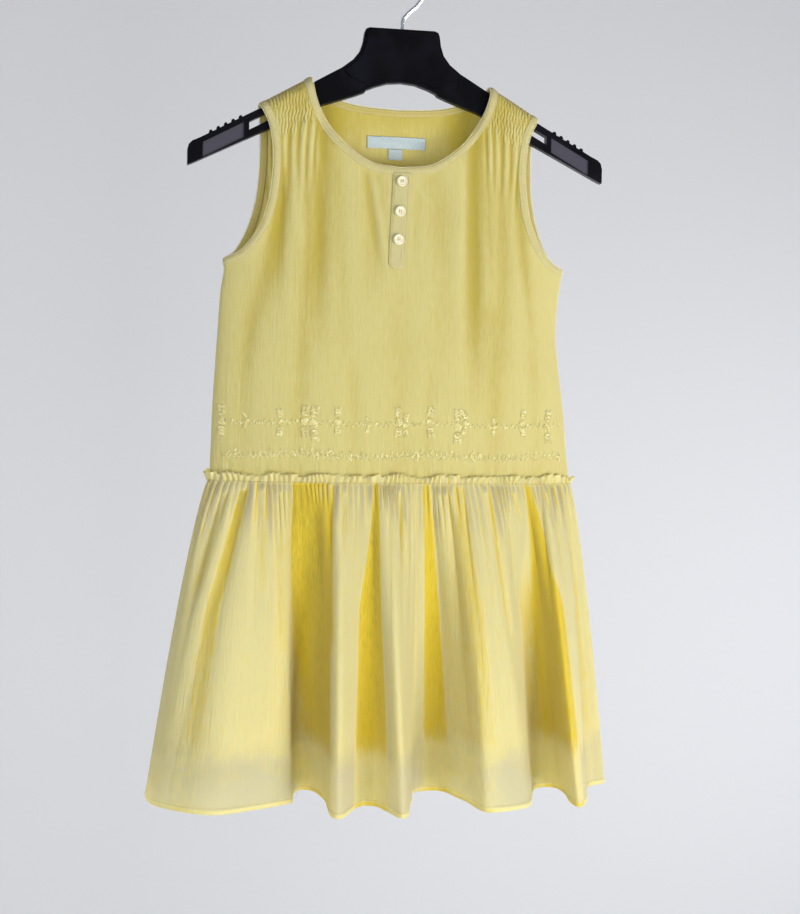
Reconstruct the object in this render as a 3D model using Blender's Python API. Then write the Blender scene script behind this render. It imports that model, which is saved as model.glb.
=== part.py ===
"""Sleeveless drop-waist sundress hung on a moulded coat hanger.

The frame starts where the rail bears inside the top of the hook: +X to the right seen
from the front, +Y to the back of the dress, +Z up.  All sizes are in millimetres.
"""
import math

import bmesh
import bpy
from mathutils import Vector

MM = 0.001

# ---------------------------------------------------------------- cloth sizes
CLOTH = 1.4            # wall of a panel
SEAM = 0.3             # gap between two sewn pieces
BIND_W = 6.5           # width of the neck and armhole bindings
BIND_IN = -0.3         # the binding's inner face, from the panel's inner face
BIND_OUT = 1.9         # the binding's outer face
WAIST_Z = -514.0       # seam between bodice and skirt
HEM_Z = -838.0         # hem of the skirt
LINING_Z = -786.0      # hem of the skirt lining
LINING_IN = 5.0        # the lining hangs this far inside the skirt
SHOULDER_ROLL = 14.0   # drop over which the cloth rolls off the hanger
NECK_STEPS = 10        # points along half a neck edge, and along one armhole edge
ARM_STEPS = 10
SIDE_STEPS = 4         # rows below the armpit
NECK_SHARE = 0.74      # share of the columns that end on the neck
EDGE_CROWD = 1.35       # how much closer these points stand near the shoulder

# shoulder seam, on top of the hanger arm
NECK_POINT = (91.0, -115.0)
SHOULDER_TIP = (141.0, -143.5)

# bodice sections: height, reach to the left and right, depth to the front and back
BODICE = [
    dict(z=-110, left=222, right=214, front=15, back=14),
    dict(z=-200, left=202, right=197, front=16, back=15),
    dict(z=-250, left=186, right=181, front=19, back=17),
    dict(z=-300, left=173, right=171, front=23, back=20),
    dict(z=-330, left=176, right=167, front=25, back=22),
    dict(z=-365, left=178, right=166, front=27, back=24),
    dict(z=-400, left=180, right=170, front=29, back=26),
    dict(z=-440, left=182, right=176, front=30, back=27),
    dict(z=-480, left=183, right=180, front=30, back=28),
    dict(z=-514, left=184, right=184, front=30, back=28),
]

# free edges, from the centre or the shoulder outwards (x across, z up)
NECK_FRONT = [
    dict(x=0, z=-202), dict(x=30, z=-198), dict(x=53, z=-184), dict(x=70, z=-167),
    dict(x=82, z=-148), dict(x=88, z=-133), dict(x=90.5, z=-121), dict(x=91, z=-115),
]
NECK_BACK = [
    dict(x=0, z=-139.5), dict(x=40, z=-137), dict(x=69, z=-130.5), dict(x=84, z=-122.5),
    dict(x=89.5, z=-117.5), dict(x=91, z=-115),
]
ARM_FRONT = [
    dict(x=141, z=-143.5), dict(x=136.5, z=-151), dict(x=131, z=-163), dict(x=127.5, z=-180),
    dict(x=126.5, z=-200), dict(x=128, z=-222), dict(x=131.5, z=-243), dict(x=138, z=-262),
    dict(x=147, z=-277), dict(x=158, z=-289), dict(x=173, z=-296),
]
ARM_BACK = [
    dict(x=141, z=-143.5), dict(x=139.5, z=-150), dict(x=138.5, z=-162), dict(x=138, z=-182),
    dict(x=138.5, z=-206), dict(x=140.5, z=-228), dict(x=144.5, z=-248), dict(x=150, z=-265),
    dict(x=156.5, z=-279), dict(x=163, z=-289), dict(x=173, z=-296),
]

# soft vertical troughs of the bodice (depth inwards, half width across)
FOLDS_FRONT = [
    dict(top=-80, foot=-82, z0=-150, z1=-360, depth=5.0, half=10),
    dict(top=73, foot=76, z0=-140, z1=-410, depth=5.5, half=10),
    dict(top=-108, foot=-132, z0=-165, z1=-350, depth=3.0, half=9),
    dict(top=100, foot=108, z0=-160, z1=-390, depth=3.0, half=9),
    dict(top=-26, foot=-34, z0=-205, z1=-330, depth=1.6, half=12),
    dict(top=30, foot=36, z0=-200, z1=-290, depth=1.6, half=12),
]
FOLDS_BACK = [
    dict(top=-66, foot=-72, z0=-150, z1=-380, depth=4.5, half=12),
    dict(top=62, foot=70, z0=-150, z1=-400, depth=4.5, half=12),
    dict(top=-104, foot=-118, z0=-160, z1=-350, depth=3.0, half=10),
    dict(top=104, foot=120, z0=-160, z1=-350, depth=3.0, half=10),
    dict(top=0, foot=4, z0=-180, z1=-420, depth=2.5, half=16),
]

# hem of the skirt in plan: one row at each crest, flank and trough of a fold
HEM_FRONT = [
    dict(x=-243, y=25), dict(x=-236, y=-8), dict(x=-212, y=-34), dict(x=-177, y=-47),
    dict(x=-142, y=-38), dict(x=-112, y=-25), dict(x=-99, y=-19), dict(x=-94, y=-11),
    dict(x=-92, y=8), dict(x=-86, y=26), dict(x=-76, y=23), dict(x=-69, y=4),
    dict(x=-66, y=-30), dict(x=-66, y=-62), dict(x=-58, y=-73), dict(x=-46, y=-55),
    dict(x=-36, y=-38), dict(x=-28, y=-31), dict(x=-16, y=-35), dict(x=-9, y=-50),
    dict(x=0, y=-74), dict(x=7, y=-75), dict(x=15, y=-48), dict(x=24, y=-10),
    dict(x=30, y=9), dict(x=36, y=14), dict(x=50, y=15), dict(x=64, y=7),
    dict(x=76, y=-24), dict(x=86, y=-58), dict(x=95, y=-67), dict(x=118, y=-62),
    dict(x=136, y=-52), dict(x=146, y=-32), dict(x=153, y=-6), dict(x=160, y=11),
    dict(x=174, y=17), dict(x=186, y=6), dict(x=184, y=-44), dict(x=189, y=-58),
    dict(x=202, y=-36), dict(x=219, y=12), dict(x=241, y=27),
]
HEM_BACK = [
    dict(x=241, y=27), dict(x=236, y=58), dict(x=210, y=90), dict(x=178, y=66),
    dict(x=140, y=106), dict(x=96, y=64), dict(x=52, y=112), dict(x=10, y=70),
    dict(x=-30, y=110), dict(x=-76, y=66), dict(x=-120, y=104), dict(x=-160, y=62),
    dict(x=-206, y=92), dict(x=-236, y=58), dict(x=-243, y=25),
]
FRONT_COLS = 54        # facets across the front and back of the skirt
BACK_COLS = 32
FLARE = 0.78           # how soon the skirt opens below the waist
FRILL_TOP = -502.5     # top of the frilled heading
FRILL_WAVES = 38
FRILL_SWING = 1.3

PLACKET_W = 17.0
PLACKET_TOP = -210.0
PLACKET_END = -302.0
PLACKET_LEAN = -4.5    # drift to the left over its length
BUTTON_R = 5.3
BUTTON_T = 2.2
BUTTONS_Z = (-215.0, -245.0, -273.0)

# ---------------------------------------------------------------- hanger sizes
WIRE_R = 1.9
HOOK_R = 20.0          # inside radius of the hook
BLOCK_TOP = -62.0
ARM_HALF = 4.6         # half thickness of the arms
BLOCK_HALF = 7.5
ARM_TOP = dict(x0=91, z0=-120.8, x1=199, z1=-178.8)
HANGER_TOP = [
    dict(x=0, z=-62), dict(x=33, z=-62), dict(x=36.5, z=-63.5), dict(x=38, z=-67),
    dict(x=39.5, z=-77), dict(x=42.5, z=-86), dict(x=49, z=-94.5), dict(x=60, z=-103),
    dict(x=74, z=-111), dict(x=91, z=-120.8), dict(x=199, z=-178.8), dict(x=206, z=-182),
    dict(x=209.5, z=-185.5), dict(x=211, z=-191), dict(x=211, z=-206),
]
HANGER_UNDER = [
    dict(x=206, z=-204), dict(x=78, z=-141), dict(x=47, z=-130.5), dict(x=37, z=-126.5),
    dict(x=35, z=-124), dict(x=27, z=-120.5), dict(x=14, z=-116.3), dict(x=0, z=-115),
]


# ---------------------------------------------------------------- small helpers
def clear_scene():
    for ob in list(bpy.data.objects):
        bpy.data.objects.remove(ob, do_unlink=True)


def material(name, color, rough, metal=0.0, coat=0.0):
    mat = bpy.data.materials.new(name)
    mat.use_nodes = True
    sockets = mat.node_tree.nodes["Principled BSDF"].inputs
    sockets["Base Color"].default_value = (*color, 1.0)
    sockets["Roughness"].default_value = rough
    sockets["Metallic"].default_value = metal
    sockets["Coat Weight"].default_value = coat
    mat.diffuse_color = (*color, 1.0)
    return mat


def link_mesh(name, bm, mat, angle=40.0):
    bmesh.ops.recalc_face_normals(bm, faces=bm.faces)
    mesh = bpy.data.meshes.new(name)
    bm.to_mesh(mesh)
    bm.free()
    ob = bpy.data.objects.new(name, mesh)
    bpy.context.scene.collection.objects.link(ob)
    mesh.materials.append(mat)
    mesh.shade_smooth()
    mesh.set_sharp_from_angle(angle=math.radians(angle))
    return ob


def ease(t):
    t = max(0.0, min(1.0, t))
    return t * t * (3 - 2 * t)


def column(table, key, z):
    """Read one column of a table of sections at a height, smooth between rows."""
    if z >= table[0]["z"]:
        return table[0][key]
    for i in range(len(table) - 1):
        high = table[i]
        low = table[i + 1]
        if z >= low["z"]:
            before = table[max(i - 1, 0)]
            after = table[min(i + 2, len(table) - 1)]
            span = low["z"] - high["z"]
            t = (z - high["z"]) / span
            m0 = (low[key] - before[key]) / (low["z"] - before["z"]) * span
            m1 = (after[key] - high[key]) / (after["z"] - high["z"]) * span
            return (high[key] * (2 * t ** 3 - 3 * t * t + 1) + m0 * (t ** 3 - 2 * t * t + t)
                    + low[key] * (3 * t * t - 2 * t ** 3) + m1 * (t ** 3 - t * t))
    return table[-1][key]


def spline(rows, keys, count, power=1.0):
    """Points along a smooth curve through the rows of a table, crowded at its end."""
    pts = [Vector([r[k] for k in keys]) for r in rows]
    fine = []
    for i in range(len(pts) - 1):
        a = pts[i - 1] if i else pts[i] * 2 - pts[i + 1]
        b = pts[i]
        c = pts[i + 1]
        d = pts[i + 2] if i + 2 < len(pts) else pts[i + 1] * 2 - pts[i]
        for k in range(12):
            t = k / 12
            fine.append(0.5 * (2 * b + (c - a) * t + (2 * a - 5 * b + 4 * c - d) * t * t
                               + (3 * b - a - 3 * c + d) * t ** 3))
    fine.append(pts[-1])
    return resample(fine, count, power)


def resample(fine, count, power=1.0):
    run = [0.0]
    for a, b in zip(fine, fine[1:]):
        run.append(run[-1] + (b - a).length)
    out = []
    j = 0
    for i in range(count + 1):
        want = run[-1] * (1 - (1 - i / count) ** power)
        while j < len(run) - 2 and run[j + 1] < want:
            j += 1
        span = max(run[j + 1] - run[j], 1e-9)
        out.append(fine[j].lerp(fine[j + 1], min(1.0, max(0.0, (want - run[j]) / span))))
    return out


def offset_curve(pts, dist, first, last):
    """Move a flat curve sideways; its two ends move along the given directions."""
    out = []
    for i, p in enumerate(pts):
        if i == 0:
            n = Vector(first)
        elif i == len(pts) - 1:
            n = Vector(last)
        else:
            d = (pts[i + 1] - pts[i - 1]).normalized()
            n = Vector((-d.y, d.x))
            if n.dot(Vector(last) + Vector(first)) < 0:
                n = -n
        out.append(p + n.normalized() * dist)
    return out


# ---------------------------------------------------------------- bodice surface
def seam_height(x):
    slope = (SHOULDER_TIP[1] - NECK_POINT[1]) / (SHOULDER_TIP[0] - NECK_POINT[0])
    return NECK_POINT[1] + (abs(x) - NECK_POINT[0]) * slope


def reach(x, z):
    return column(BODICE, "left" if x < 0 else "right", z)


def troughs(table, x, z):
    total = 0.0
    for f in table:
        t = (f["z0"] - z) / (f["z0"] - f["z1"])
        if -0.2 < t < 1.25:
            line = f["top"] + (f["foot"] - f["top"]) * t
            fade = ease((t + 0.2) / 0.3) * (1 - ease((t - 0.55) / 0.7))
            total += f["depth"] * fade * math.exp(-((x - line) / f["half"]) ** 2)
    return total


def bodice_y(x, z, back=False):
    """Depth of the inner face of the cloth at a point of the front or back."""
    xn = min(1.0, abs(x) / reach(x, z))
    full = (1 - xn ** 2.6) ** 0.62
    roll = max(0.0, min(1.0, (seam_height(x) - z) / SHOULDER_ROLL))
    full *= math.sqrt(1 - (1 - roll) ** 2)
    if back:
        return full * (column(BODICE, "back", z) - troughs(FOLDS_BACK, x, z))
    return -full * (column(BODICE, "front", z) - troughs(FOLDS_FRONT, x, z))


def on_bodice(x, z, back=False):
    y = bodice_y(x, z, back)
    gap = SEAM / 2
    return Vector((x, max(y, gap) if back else min(y, -gap), z))


def bodice_normal(x, z, back=False):
    e = 0.5
    du = on_bodice(x + e, z, back) - on_bodice(x - e, z, back)
    dv = on_bodice(x, z + e, back) - on_bodice(x, z - e, back)
    n = du.cross(dv).normalized()
    return -n if back else n


def spot(x, z, back=False):
    """A point of the cloth with its outward direction."""
    return on_bodice(x, z, back), bodice_normal(x, z, back)


def seam_spot(x, z):
    """The same on a seam between front and back."""
    n = bodice_normal(x, z) + bodice_normal(x, z, True)
    return Vector((x, 0, z)), n.normalized()


# ---------------------------------------------------------------- shells
def grid_normals(rows, ring, level):
    out = []
    n_u = len(rows[0])
    for i, row in enumerate(rows):
        line = []
        for j in range(n_u):
            left = row[j - 1] if (j or ring) else row[j]
            right = row[(j + 1) % n_u] if (j < n_u - 1 or ring) else row[j]
            down = rows[max(i - 1, 0)][j]
            up = rows[min(i + 1, len(rows) - 1)][j]
            n = (right - left).cross(up - down)
            if n.length < 1e-9:
                n = Vector((0, -1, 0))
            if level and i == len(rows) - 1:
                n.z = 0
            line.append(n.normalized())
        out.append(line)
    return out


def shell(name, rows, inner, outer, mat, ring=False, angle=50.0, level=False):
    """A closed wall on a grid of points, from `inner` to `outer` along its normals."""
    if isinstance(rows[0][0], tuple):
        normals = [[n for _, n in r] for r in rows]
        rows = [[p for p, _ in r] for r in rows]
    else:
        normals = grid_normals(rows, ring, level)
    bm = bmesh.new()
    n_v = len(rows)
    n_u = len(rows[0])
    faces = []
    for off in (inner, outer):
        faces.append([[bm.verts.new((p + n * off) * MM) for p, n in zip(r, nr)]
                      for r, nr in zip(rows, normals)])
    last = n_u if ring else n_u - 1
    for i in range(n_v - 1):
        for j in range(last):
            k = (j + 1) % n_u
            for g in faces:
                bm.faces.new((g[i][j], g[i][k], g[i + 1][k], g[i + 1][j]))
    low, high = faces
    for j in range(last):
        k = (j + 1) % n_u
        for i in (0, n_v - 1):
            bm.faces.new((low[i][j], low[i][k], high[i][k], high[i][j]))
    if not ring:
        for i in range(n_v - 1):
            for j in (0, n_u - 1):
                bm.faces.new((low[i][j], low[i + 1][j], high[i + 1][j], high[i][j]))
    return link_mesh(name, bm, mat, angle)


def free_edge(rows, dist, count, kind):
    """A free edge of the bodice, or the line `dist` inside it."""
    if kind == "neck":
        edge = spline(rows, ("x", "z"), count, EDGE_CROWD)
    else:
        edge = spline(rows[::-1], ("x", "z"), count, EDGE_CROWD)[::-1]
    slope = Vector((SHOULDER_TIP[0] - NECK_POINT[0], SHOULDER_TIP[1] - NECK_POINT[1]))
    if kind == "neck":
        return offset_curve(edge, dist, (0, -1), slope)
    return offset_curve(edge, dist, -slope, (0, -1))


def panel_frame(neck_rows, arm_rows):
    """Top edge of half a panel with its shares of the width, and its armhole edge."""
    inside = BIND_W + SEAM
    neck = free_edge(neck_rows, inside, NECK_STEPS, "neck")
    arm = free_edge(arm_rows, inside, ARM_STEPS, "arm")
    top = [(p, NECK_SHARE * k / NECK_STEPS) for k, p in enumerate(neck)]
    top += [(neck[-1].lerp(arm[0], k / 4), NECK_SHARE + (1 - NECK_SHARE) * k / 4)
            for k in range(1, 5)]
    return top, arm


def bodice_rows(neck_rows, arm_rows, back):
    """Grid of a panel, waist to shoulder, between its centre, neck and armholes."""
    top, arm = panel_frame(neck_rows, arm_rows)
    tip = arm[0]
    foot = arm[-1].y
    levels = [WAIST_Z + (foot - WAIST_Z) * k / SIDE_STEPS for k in range(SIDE_STEPS)]
    levels += [p.y for p in reversed(arm)]
    n = len(top) - 1
    out = []
    for i, level in enumerate(levels):
        t = (level - WAIST_Z) / (tip.y - WAIST_Z)
        line = []
        for j in range(-n, n + 1):
            side = -1 if j < 0 else 1
            peak, share = top[abs(j)]
            wide = reach(side, WAIST_Z)
            if i <= SIDE_STEPS:
                edge = reach(side, level)
            else:
                edge = arm[len(levels) - 1 - i].x
            bend = edge - (wide + (tip.x - wide) * t)
            start = wide * (0.6 * share + 0.4 * math.sin(share * math.pi / 2))
            x = start + (peak.x - start) * t + bend * share ** 6
            z = WAIST_Z + (peak.y - WAIST_Z) * t
            line.append(spot(side * x, z, back))
        if back:
            line.reverse()
        out.append(line)
    return out


def binding_rows(front_rows, back_rows, kind, side, count):
    """Ring of points along a free edge, three across its width."""
    rows = []
    for dist in (BIND_W, BIND_W / 2, 0.0):
        front = free_edge(front_rows, dist, count, kind)
        back = free_edge(back_rows, dist, count, kind)
        ring = []
        if kind == "neck":
            top = front[-1]
            ring += [spot(-p.x, p.y) for p in reversed(front[:-1])]
            ring += [spot(p.x, p.y) for p in front[1:-1]]
            ring.append(seam_spot(top.x, top.y))
            ring += [spot(p.x, p.y, True) for p in reversed(back[:-1])]
            ring += [spot(-p.x, p.y, True) for p in back[1:-1]]
            ring.append(seam_spot(-top.x, top.y))
        else:
            foot = front[-1]
            ring.append(seam_spot(side * front[0].x, front[0].y))
            ring += [spot(side * p.x, p.y) for p in front[1:-1]]
            ring.append(seam_spot(side * reach(side, foot.y), foot.y))
            ring += [spot(side * p.x, p.y, True) for p in reversed(back[1:-1])]
        rows.append(ring)
    return rows


# ---------------------------------------------------------------- skirt surface
def waist_section(count, back, grow=0.0):
    """Half the waist oval, evenly spaced along its length."""
    left = reach(-1, WAIST_Z) + grow
    right = reach(1, WAIST_Z) + grow
    deep = column(BODICE, "back" if back else "front", WAIST_Z) + grow
    fine = []
    for k in range(121):
        a = math.pi * k / 120
        s = math.cos(a)
        x = -s * (left if s > 0 else right)
        fine.append(Vector((x, -deep * (1 - abs(s) ** 2.6) ** 0.62, WAIST_Z)))
    if back:
        fine = [Vector((p.x, -p.y, p.z)) for p in reversed(fine)]
    return resample(fine, count)


def skirt_rows(hem_rows, back, cols, rows, top_z, foot_z, ends=True):
    """Skirt panel: the waist oval below, opening into the folds of the hem."""
    top = waist_section(cols, back, 1.0)
    hem = spline(hem_rows, ("x", "y"), cols)
    out = []
    for i in range(rows + 1):
        t = i / rows
        t = t + 0.25 * t * (1 - t)
        z = foot_z + (top_z - foot_z) * t
        down = (WAIST_Z - z) / (WAIST_Z - HEM_Z)
        wide = max(down, 0.0) ** FLARE
        deep = max(down, 0.0) ** 0.95
        line = []
        for a, b in zip(top, hem):
            x = a.x + (b.x - a.x) * wide
            y = a.y + (b.y - a.y) * deep
            line.append(Vector((x, y, z)))
        if ends:
            gap = SEAM / 2 if back else -SEAM / 2
            line[0].y += gap
            line[-1].y += gap
        out.append(line)
    return out


def around(front, back):
    """Join the rows of a front and back panel into rings."""
    return [f[:-1] + b[:-1] for f, b in zip(front, back)]


# ---------------------------------------------------------------- pieces
def build_cloth(mats):
    cloth = mats["voile"]
    trim = mats["binding"]
    shell("bodice_front", bodice_rows(NECK_FRONT, ARM_FRONT, False), 0, CLOTH, cloth)
    shell("bodice_back", bodice_rows(NECK_BACK, ARM_BACK, True), 0, CLOTH, cloth)
    neck = binding_rows(NECK_FRONT, NECK_BACK, "neck", 1, NECK_STEPS)
    shell("neck_binding", neck, BIND_IN, BIND_OUT, trim, ring=True)
    for name, side in (("left", -1), ("right", 1)):
        rows = binding_rows(ARM_FRONT, ARM_BACK, "arm", side, ARM_STEPS)
        shell("armhole_binding_" + name, rows, BIND_IN, BIND_OUT, trim, ring=True)

    top = WAIST_Z - SEAM
    front = skirt_rows(HEM_FRONT, False, FRONT_COLS, 7, top, HEM_Z)
    back = skirt_rows(HEM_BACK, True, BACK_COLS, 6, top, HEM_Z)
    shell("skirt_front", front, 0, CLOTH, cloth, level=True)
    shell("skirt_back", back, 0, CLOTH, cloth, level=True)
    lining = around(skirt_rows(HEM_FRONT, False, FRONT_COLS, 3, top - 6, LINING_Z, False),
                    skirt_rows(HEM_BACK, True, BACK_COLS, 3, top - 6, LINING_Z, False))
    shell("skirt_lining", lining, -LINING_IN - 1.0, -LINING_IN, mats["lining"], ring=True)
    build_frill(cloth)


def build_frill(mat):
    """Gathered heading that stands above the waist seam, all round."""
    per_half = FRILL_WAVES * 2
    rows = []
    for z, swing, stand in ((WAIST_Z + 0.5, 0.6, 2.8), (FRILL_TOP, FRILL_SWING, 3.6)):
        front = waist_section(per_half, False)
        back = waist_section(per_half, True)
        ring = front[:-1] + back[:-1]
        n = len(ring)
        line = []
        for j, p in enumerate(ring):
            side = ring[(j + 1) % n] - ring[j - 1]
            out = Vector((side.y, -side.x, 0)).normalized()
            wave = math.cos(math.pi / 2 * j) * swing
            line.append(Vector((p.x, p.y, z)) + out * (stand + wave))
        rows.append(line)
    shell("waist_frill", rows, 0, 1.0, mat, ring=True, angle=70)


def build_front_trim(mats):
    """Placket strip with its rounded foot, and the three buttons on it."""
    rows = []
    steps = 7
    for i in range(steps + 1):
        z = PLACKET_END + (PLACKET_TOP - PLACKET_END) * (i / steps) ** 1.35
        rise = z - PLACKET_END
        half = PLACKET_W / 2
        if rise < half:
            half = 2.5 + (half - 2.5) * math.sqrt(1 - (1 - rise / half) ** 2)
        mid = PLACKET_LEAN * (PLACKET_TOP - z) / (PLACKET_TOP - PLACKET_END)
        rows.append([on_bodice(mid + half * k / 2, z) for k in range(-2, 3)])
    shell("placket", rows, CLOTH + 0.5, CLOTH + 1.6, mats["binding"])

    for name, z in zip(("top", "middle", "lower"), BUTTONS_Z):
        mid = PLACKET_LEAN * (PLACKET_TOP - z) / (PLACKET_TOP - PLACKET_END)
        base = on_bodice(mid, z)
        normal = bodice_normal(mid, z)
        build_button("button_" + name, base + normal * (CLOTH + 2.0), normal, mats["button"])


def build_button(name, seat, normal, mat):
    """Four-hole shirt button: a dished disc with a rounded rim."""
    profile = [(0, 0), (BUTTON_R - 0.8, 0), (BUTTON_R, 0.7), (BUTTON_R, 1.6),
               (BUTTON_R - 0.5, BUTTON_T), (BUTTON_R - 1.3, BUTTON_T), (BUTTON_R - 1.9, 1.7),
               (0, 1.6)]
    segs = 28
    bm = bmesh.new()
    rings = []
    for r, h in profile:
        if r == 0:
            rings.append([bm.verts.new((0, 0, h))])
        else:
            rings.append([bm.verts.new((r * math.cos(2 * math.pi * k / segs),
                                        r * math.sin(2 * math.pi * k / segs), h))
                          for k in range(segs)])
    for a, b in zip(rings, rings[1:]):
        for k in range(segs):
            m = (k + 1) % segs
            if len(a) == 1:
                bm.faces.new((a[0], b[k], b[m]))
            elif len(b) == 1:
                bm.faces.new((a[k], a[m], b[0]))
            else:
                bm.faces.new((a[k], a[m], b[m], b[k]))
    ob = link_mesh(name, bm, mat, 35)
    for k in range(4):
        angle = math.pi / 4 + k * math.pi / 2
        centre = Vector((1.35 * math.cos(angle), 1.35 * math.sin(angle), 1.0))
        cut(ob, cylinder(centre, 0.6, 4.0, 10))
    turn = normal.to_track_quat("Z", "Y").to_matrix().to_4x4()
    for v in ob.data.vertices:
        v.co = (seat + turn @ v.co) * MM
    return ob


def cylinder(centre, radius, height, segs):
    bm = bmesh.new()
    bmesh.ops.create_cone(bm, cap_ends=True, segments=segs, radius1=radius, radius2=radius,
                          depth=height)
    bmesh.ops.translate(bm, verts=bm.verts, vec=centre)
    mesh = bpy.data.meshes.new("cutter")
    bm.to_mesh(mesh)
    bm.free()
    ob = bpy.data.objects.new("cutter", mesh)
    bpy.context.scene.collection.objects.link(ob)
    return ob


def cut(ob, tool):
    """Take one solid out of another and drop the cutter."""
    mod = ob.modifiers.new("cut", "BOOLEAN")
    mod.operation = "DIFFERENCE"
    mod.solver = "EXACT"
    mod.object = tool
    graph = bpy.context.evaluated_depsgraph_get()
    mesh = bpy.data.meshes.new_from_object(ob.evaluated_get(graph))
    ob.modifiers.clear()
    old = ob.data
    ob.data = mesh
    mesh.name = ob.name
    bpy.data.meshes.remove(old)
    bpy.data.objects.remove(tool, do_unlink=True)


def build_labels(mat):
    """Blank woven label and size tag inside the back of the neck."""
    for name, x0, x1, z0, z1 in (("neck_label", -31, 29, -178, -166),
                                 ("size_tag", -9, 5, -189.5, -178.5)):
        rows = []
        for k in range(3):
            z = z0 + (z1 - z0) * k / 2
            rows.append([on_bodice(x1 + (x0 - x1) * j / 6, z, True) for j in range(7)])
        shell(name, rows, -1.1, -0.3, mat)


# ---------------------------------------------------------------- hanger
def prism(name, outline, half, mat=None, y0=0.0):
    """Outline in x and z (mm), thick to both sides of y0."""
    bm = bmesh.new()
    front = [bm.verts.new((x * MM, (y0 - half) * MM, z * MM)) for x, z in outline]
    back = [bm.verts.new((x * MM, (y0 + half) * MM, z * MM)) for x, z in outline]
    n = len(outline)
    bm.faces.new(front)
    bm.faces.new(list(reversed(back)))
    for k in range(n):
        m = (k + 1) % n
        bm.faces.new((front[k], back[k], back[m], front[m]))
    if mat is None:
        mat = bpy.data.materials.get("hanger_black")
    return link_mesh(name, bm, mat, 30)


def arm_point(x, drop, side):
    """A point on an arm: distance out from the centre, drop below its top line."""
    slope = (ARM_TOP["z1"] - ARM_TOP["z0"]) / (ARM_TOP["x1"] - ARM_TOP["x0"])
    return (side * x, ARM_TOP["z0"] + (x - ARM_TOP["x0"]) * slope - drop)


def arm_box(x0, x1, drop0, drop1, side):
    pts = [arm_point(x0, drop0, side), arm_point(x1, drop0, side),
           arm_point(x1, drop1, side), arm_point(x0, drop1, side)]
    return pts if side > 0 else list(reversed(pts))


def build_hanger(mats):
    right = [(r["x"], r["z"]) for r in HANGER_TOP] + [(r["x"], r["z"]) for r in HANGER_UNDER]
    outline = []
    for k, (x, z) in enumerate(right):
        outline.append((x, z))
        if (x, z) == (ARM_TOP["x0"], ARM_TOP["z0"]):
            # raised ribs on the top edge, near the tip
            for rib in range(5):
                x0 = 158 + rib * 7.2
                for dx, rise in ((0, 0), (0.6, 2.4), (3.0, 2.4), (3.6, 0)):
                    outline.append(arm_point(x0 + dx, -rise, 1))
    left = [(-x, z) for x, z in reversed(outline) if x > 0]
    body = prism("hanger_body", outline + left, ARM_HALF, mats["hanger"])
    bevel = body.modifiers.new("edge", "BEVEL")
    bevel.width = 0.9 * MM
    bevel.segments = 2
    bevel.limit_method = "ANGLE"
    bevel.angle_limit = math.radians(50)
    bake(body)
    for side in (-1, 1):
        cut(body, prism("cutter", arm_box(133, 151, 8.0, 16.0, side), 20))
        for face in (-1, 1):
            deep = ARM_HALF - 1.6
            y0 = face * (deep + 6)
            cut(body, prism("cutter", arm_box(156, 196, 6.0, 21.0, side), 6, None, y0))
            cut(body, prism("cutter", arm_box(92, 128, 5.0, 18.5, side), 6, None, y0))
    hole = cylinder(Vector((0, 0, 0)), (WIRE_R + SEAM) * MM, 24 * MM, 24)
    for v in hole.data.vertices:
        v.co.z += BLOCK_TOP * MM
    cut(body, hole)

    # thickening plates of the neck block, front and back
    build_block_plates(mats["hanger"])
    build_hook(mats["steel"])


def bake(ob):
    graph = bpy.context.evaluated_depsgraph_get()
    mesh = bpy.data.meshes.new_from_object(ob.evaluated_get(graph))
    ob.modifiers.clear()
    old = ob.data
    ob.data = mesh
    mesh.name = ob.name
    bpy.data.meshes.remove(old)


def build_block_plates(mat):
    top = [(r["x"] - 2.5, r["z"] - 3.0) for r in HANGER_TOP[1:8]]
    outline = top + [(52, -112), (34, -119), (20, -113.5), (0, -112)]
    outline = outline + [(-x, z) for x, z in reversed(outline) if x > 0]
    for name, face in (("front", -1), ("back", 1)):
        half = (BLOCK_HALF - ARM_HALF - SEAM) / 2
        y0 = face * (ARM_HALF + SEAM + half)
        plate = prism("hanger_plate_" + name, outline, half, mat, y0)
        bevel = plate.modifiers.new("edge", "BEVEL")
        bevel.width = 0.6 * MM
        bevel.segments = 1
        bevel.limit_method = "ANGLE"
        bevel.angle_limit = math.radians(60)
        bake(plate)


def build_hook(mat):
    """Steel wire hook: shank, loop over the rail, rounded tip."""
    mid = HOOK_R + WIRE_R
    path = [Vector((0, 0, -72)), Vector((0, 0, -64)), Vector((0, 0, -56)),
            Vector((1.5, 0, -50.5)), Vector((6.5, 0, -44.5)), Vector((13.5, 0, -38.5)),
            Vector((19.3, 0, -30.8))]
    for k in range(21):
        a = math.radians(-8 + 206 * k / 20)
        path.append(Vector((mid * math.cos(a), 0, -HOOK_R + mid * math.sin(a))))
    segs = 12
    bm = bmesh.new()
    rings = []
    for i, p in enumerate(path):
        along = (path[min(i + 1, len(path) - 1)] - path[max(i - 1, 0)]).normalized()
        side = Vector((0, 1, 0))
        up = along.cross(side)
        rings.append([bm.verts.new((p + (side * math.cos(2 * math.pi * k / segs)
                                         + up * math.sin(2 * math.pi * k / segs))
                                    * WIRE_R) * MM) for k in range(segs)])
    for a, b in zip(rings, rings[1:]):
        for k in range(segs):
            m = (k + 1) % segs
            bm.faces.new((a[k], a[m], b[m], b[k]))
    for ring, point, way in ((rings[0], path[0], Vector((0, 0, -1))),
                             (rings[-1], path[-1], (path[-1] - path[-2]).normalized())):
        cap = bm.verts.new((point + way * WIRE_R * 0.8) * MM)
        for k in range(segs):
            bm.faces.new((ring[k], ring[(k + 1) % segs], cap))
    link_mesh("hanger_hook", bm, mat, 40)


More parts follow.
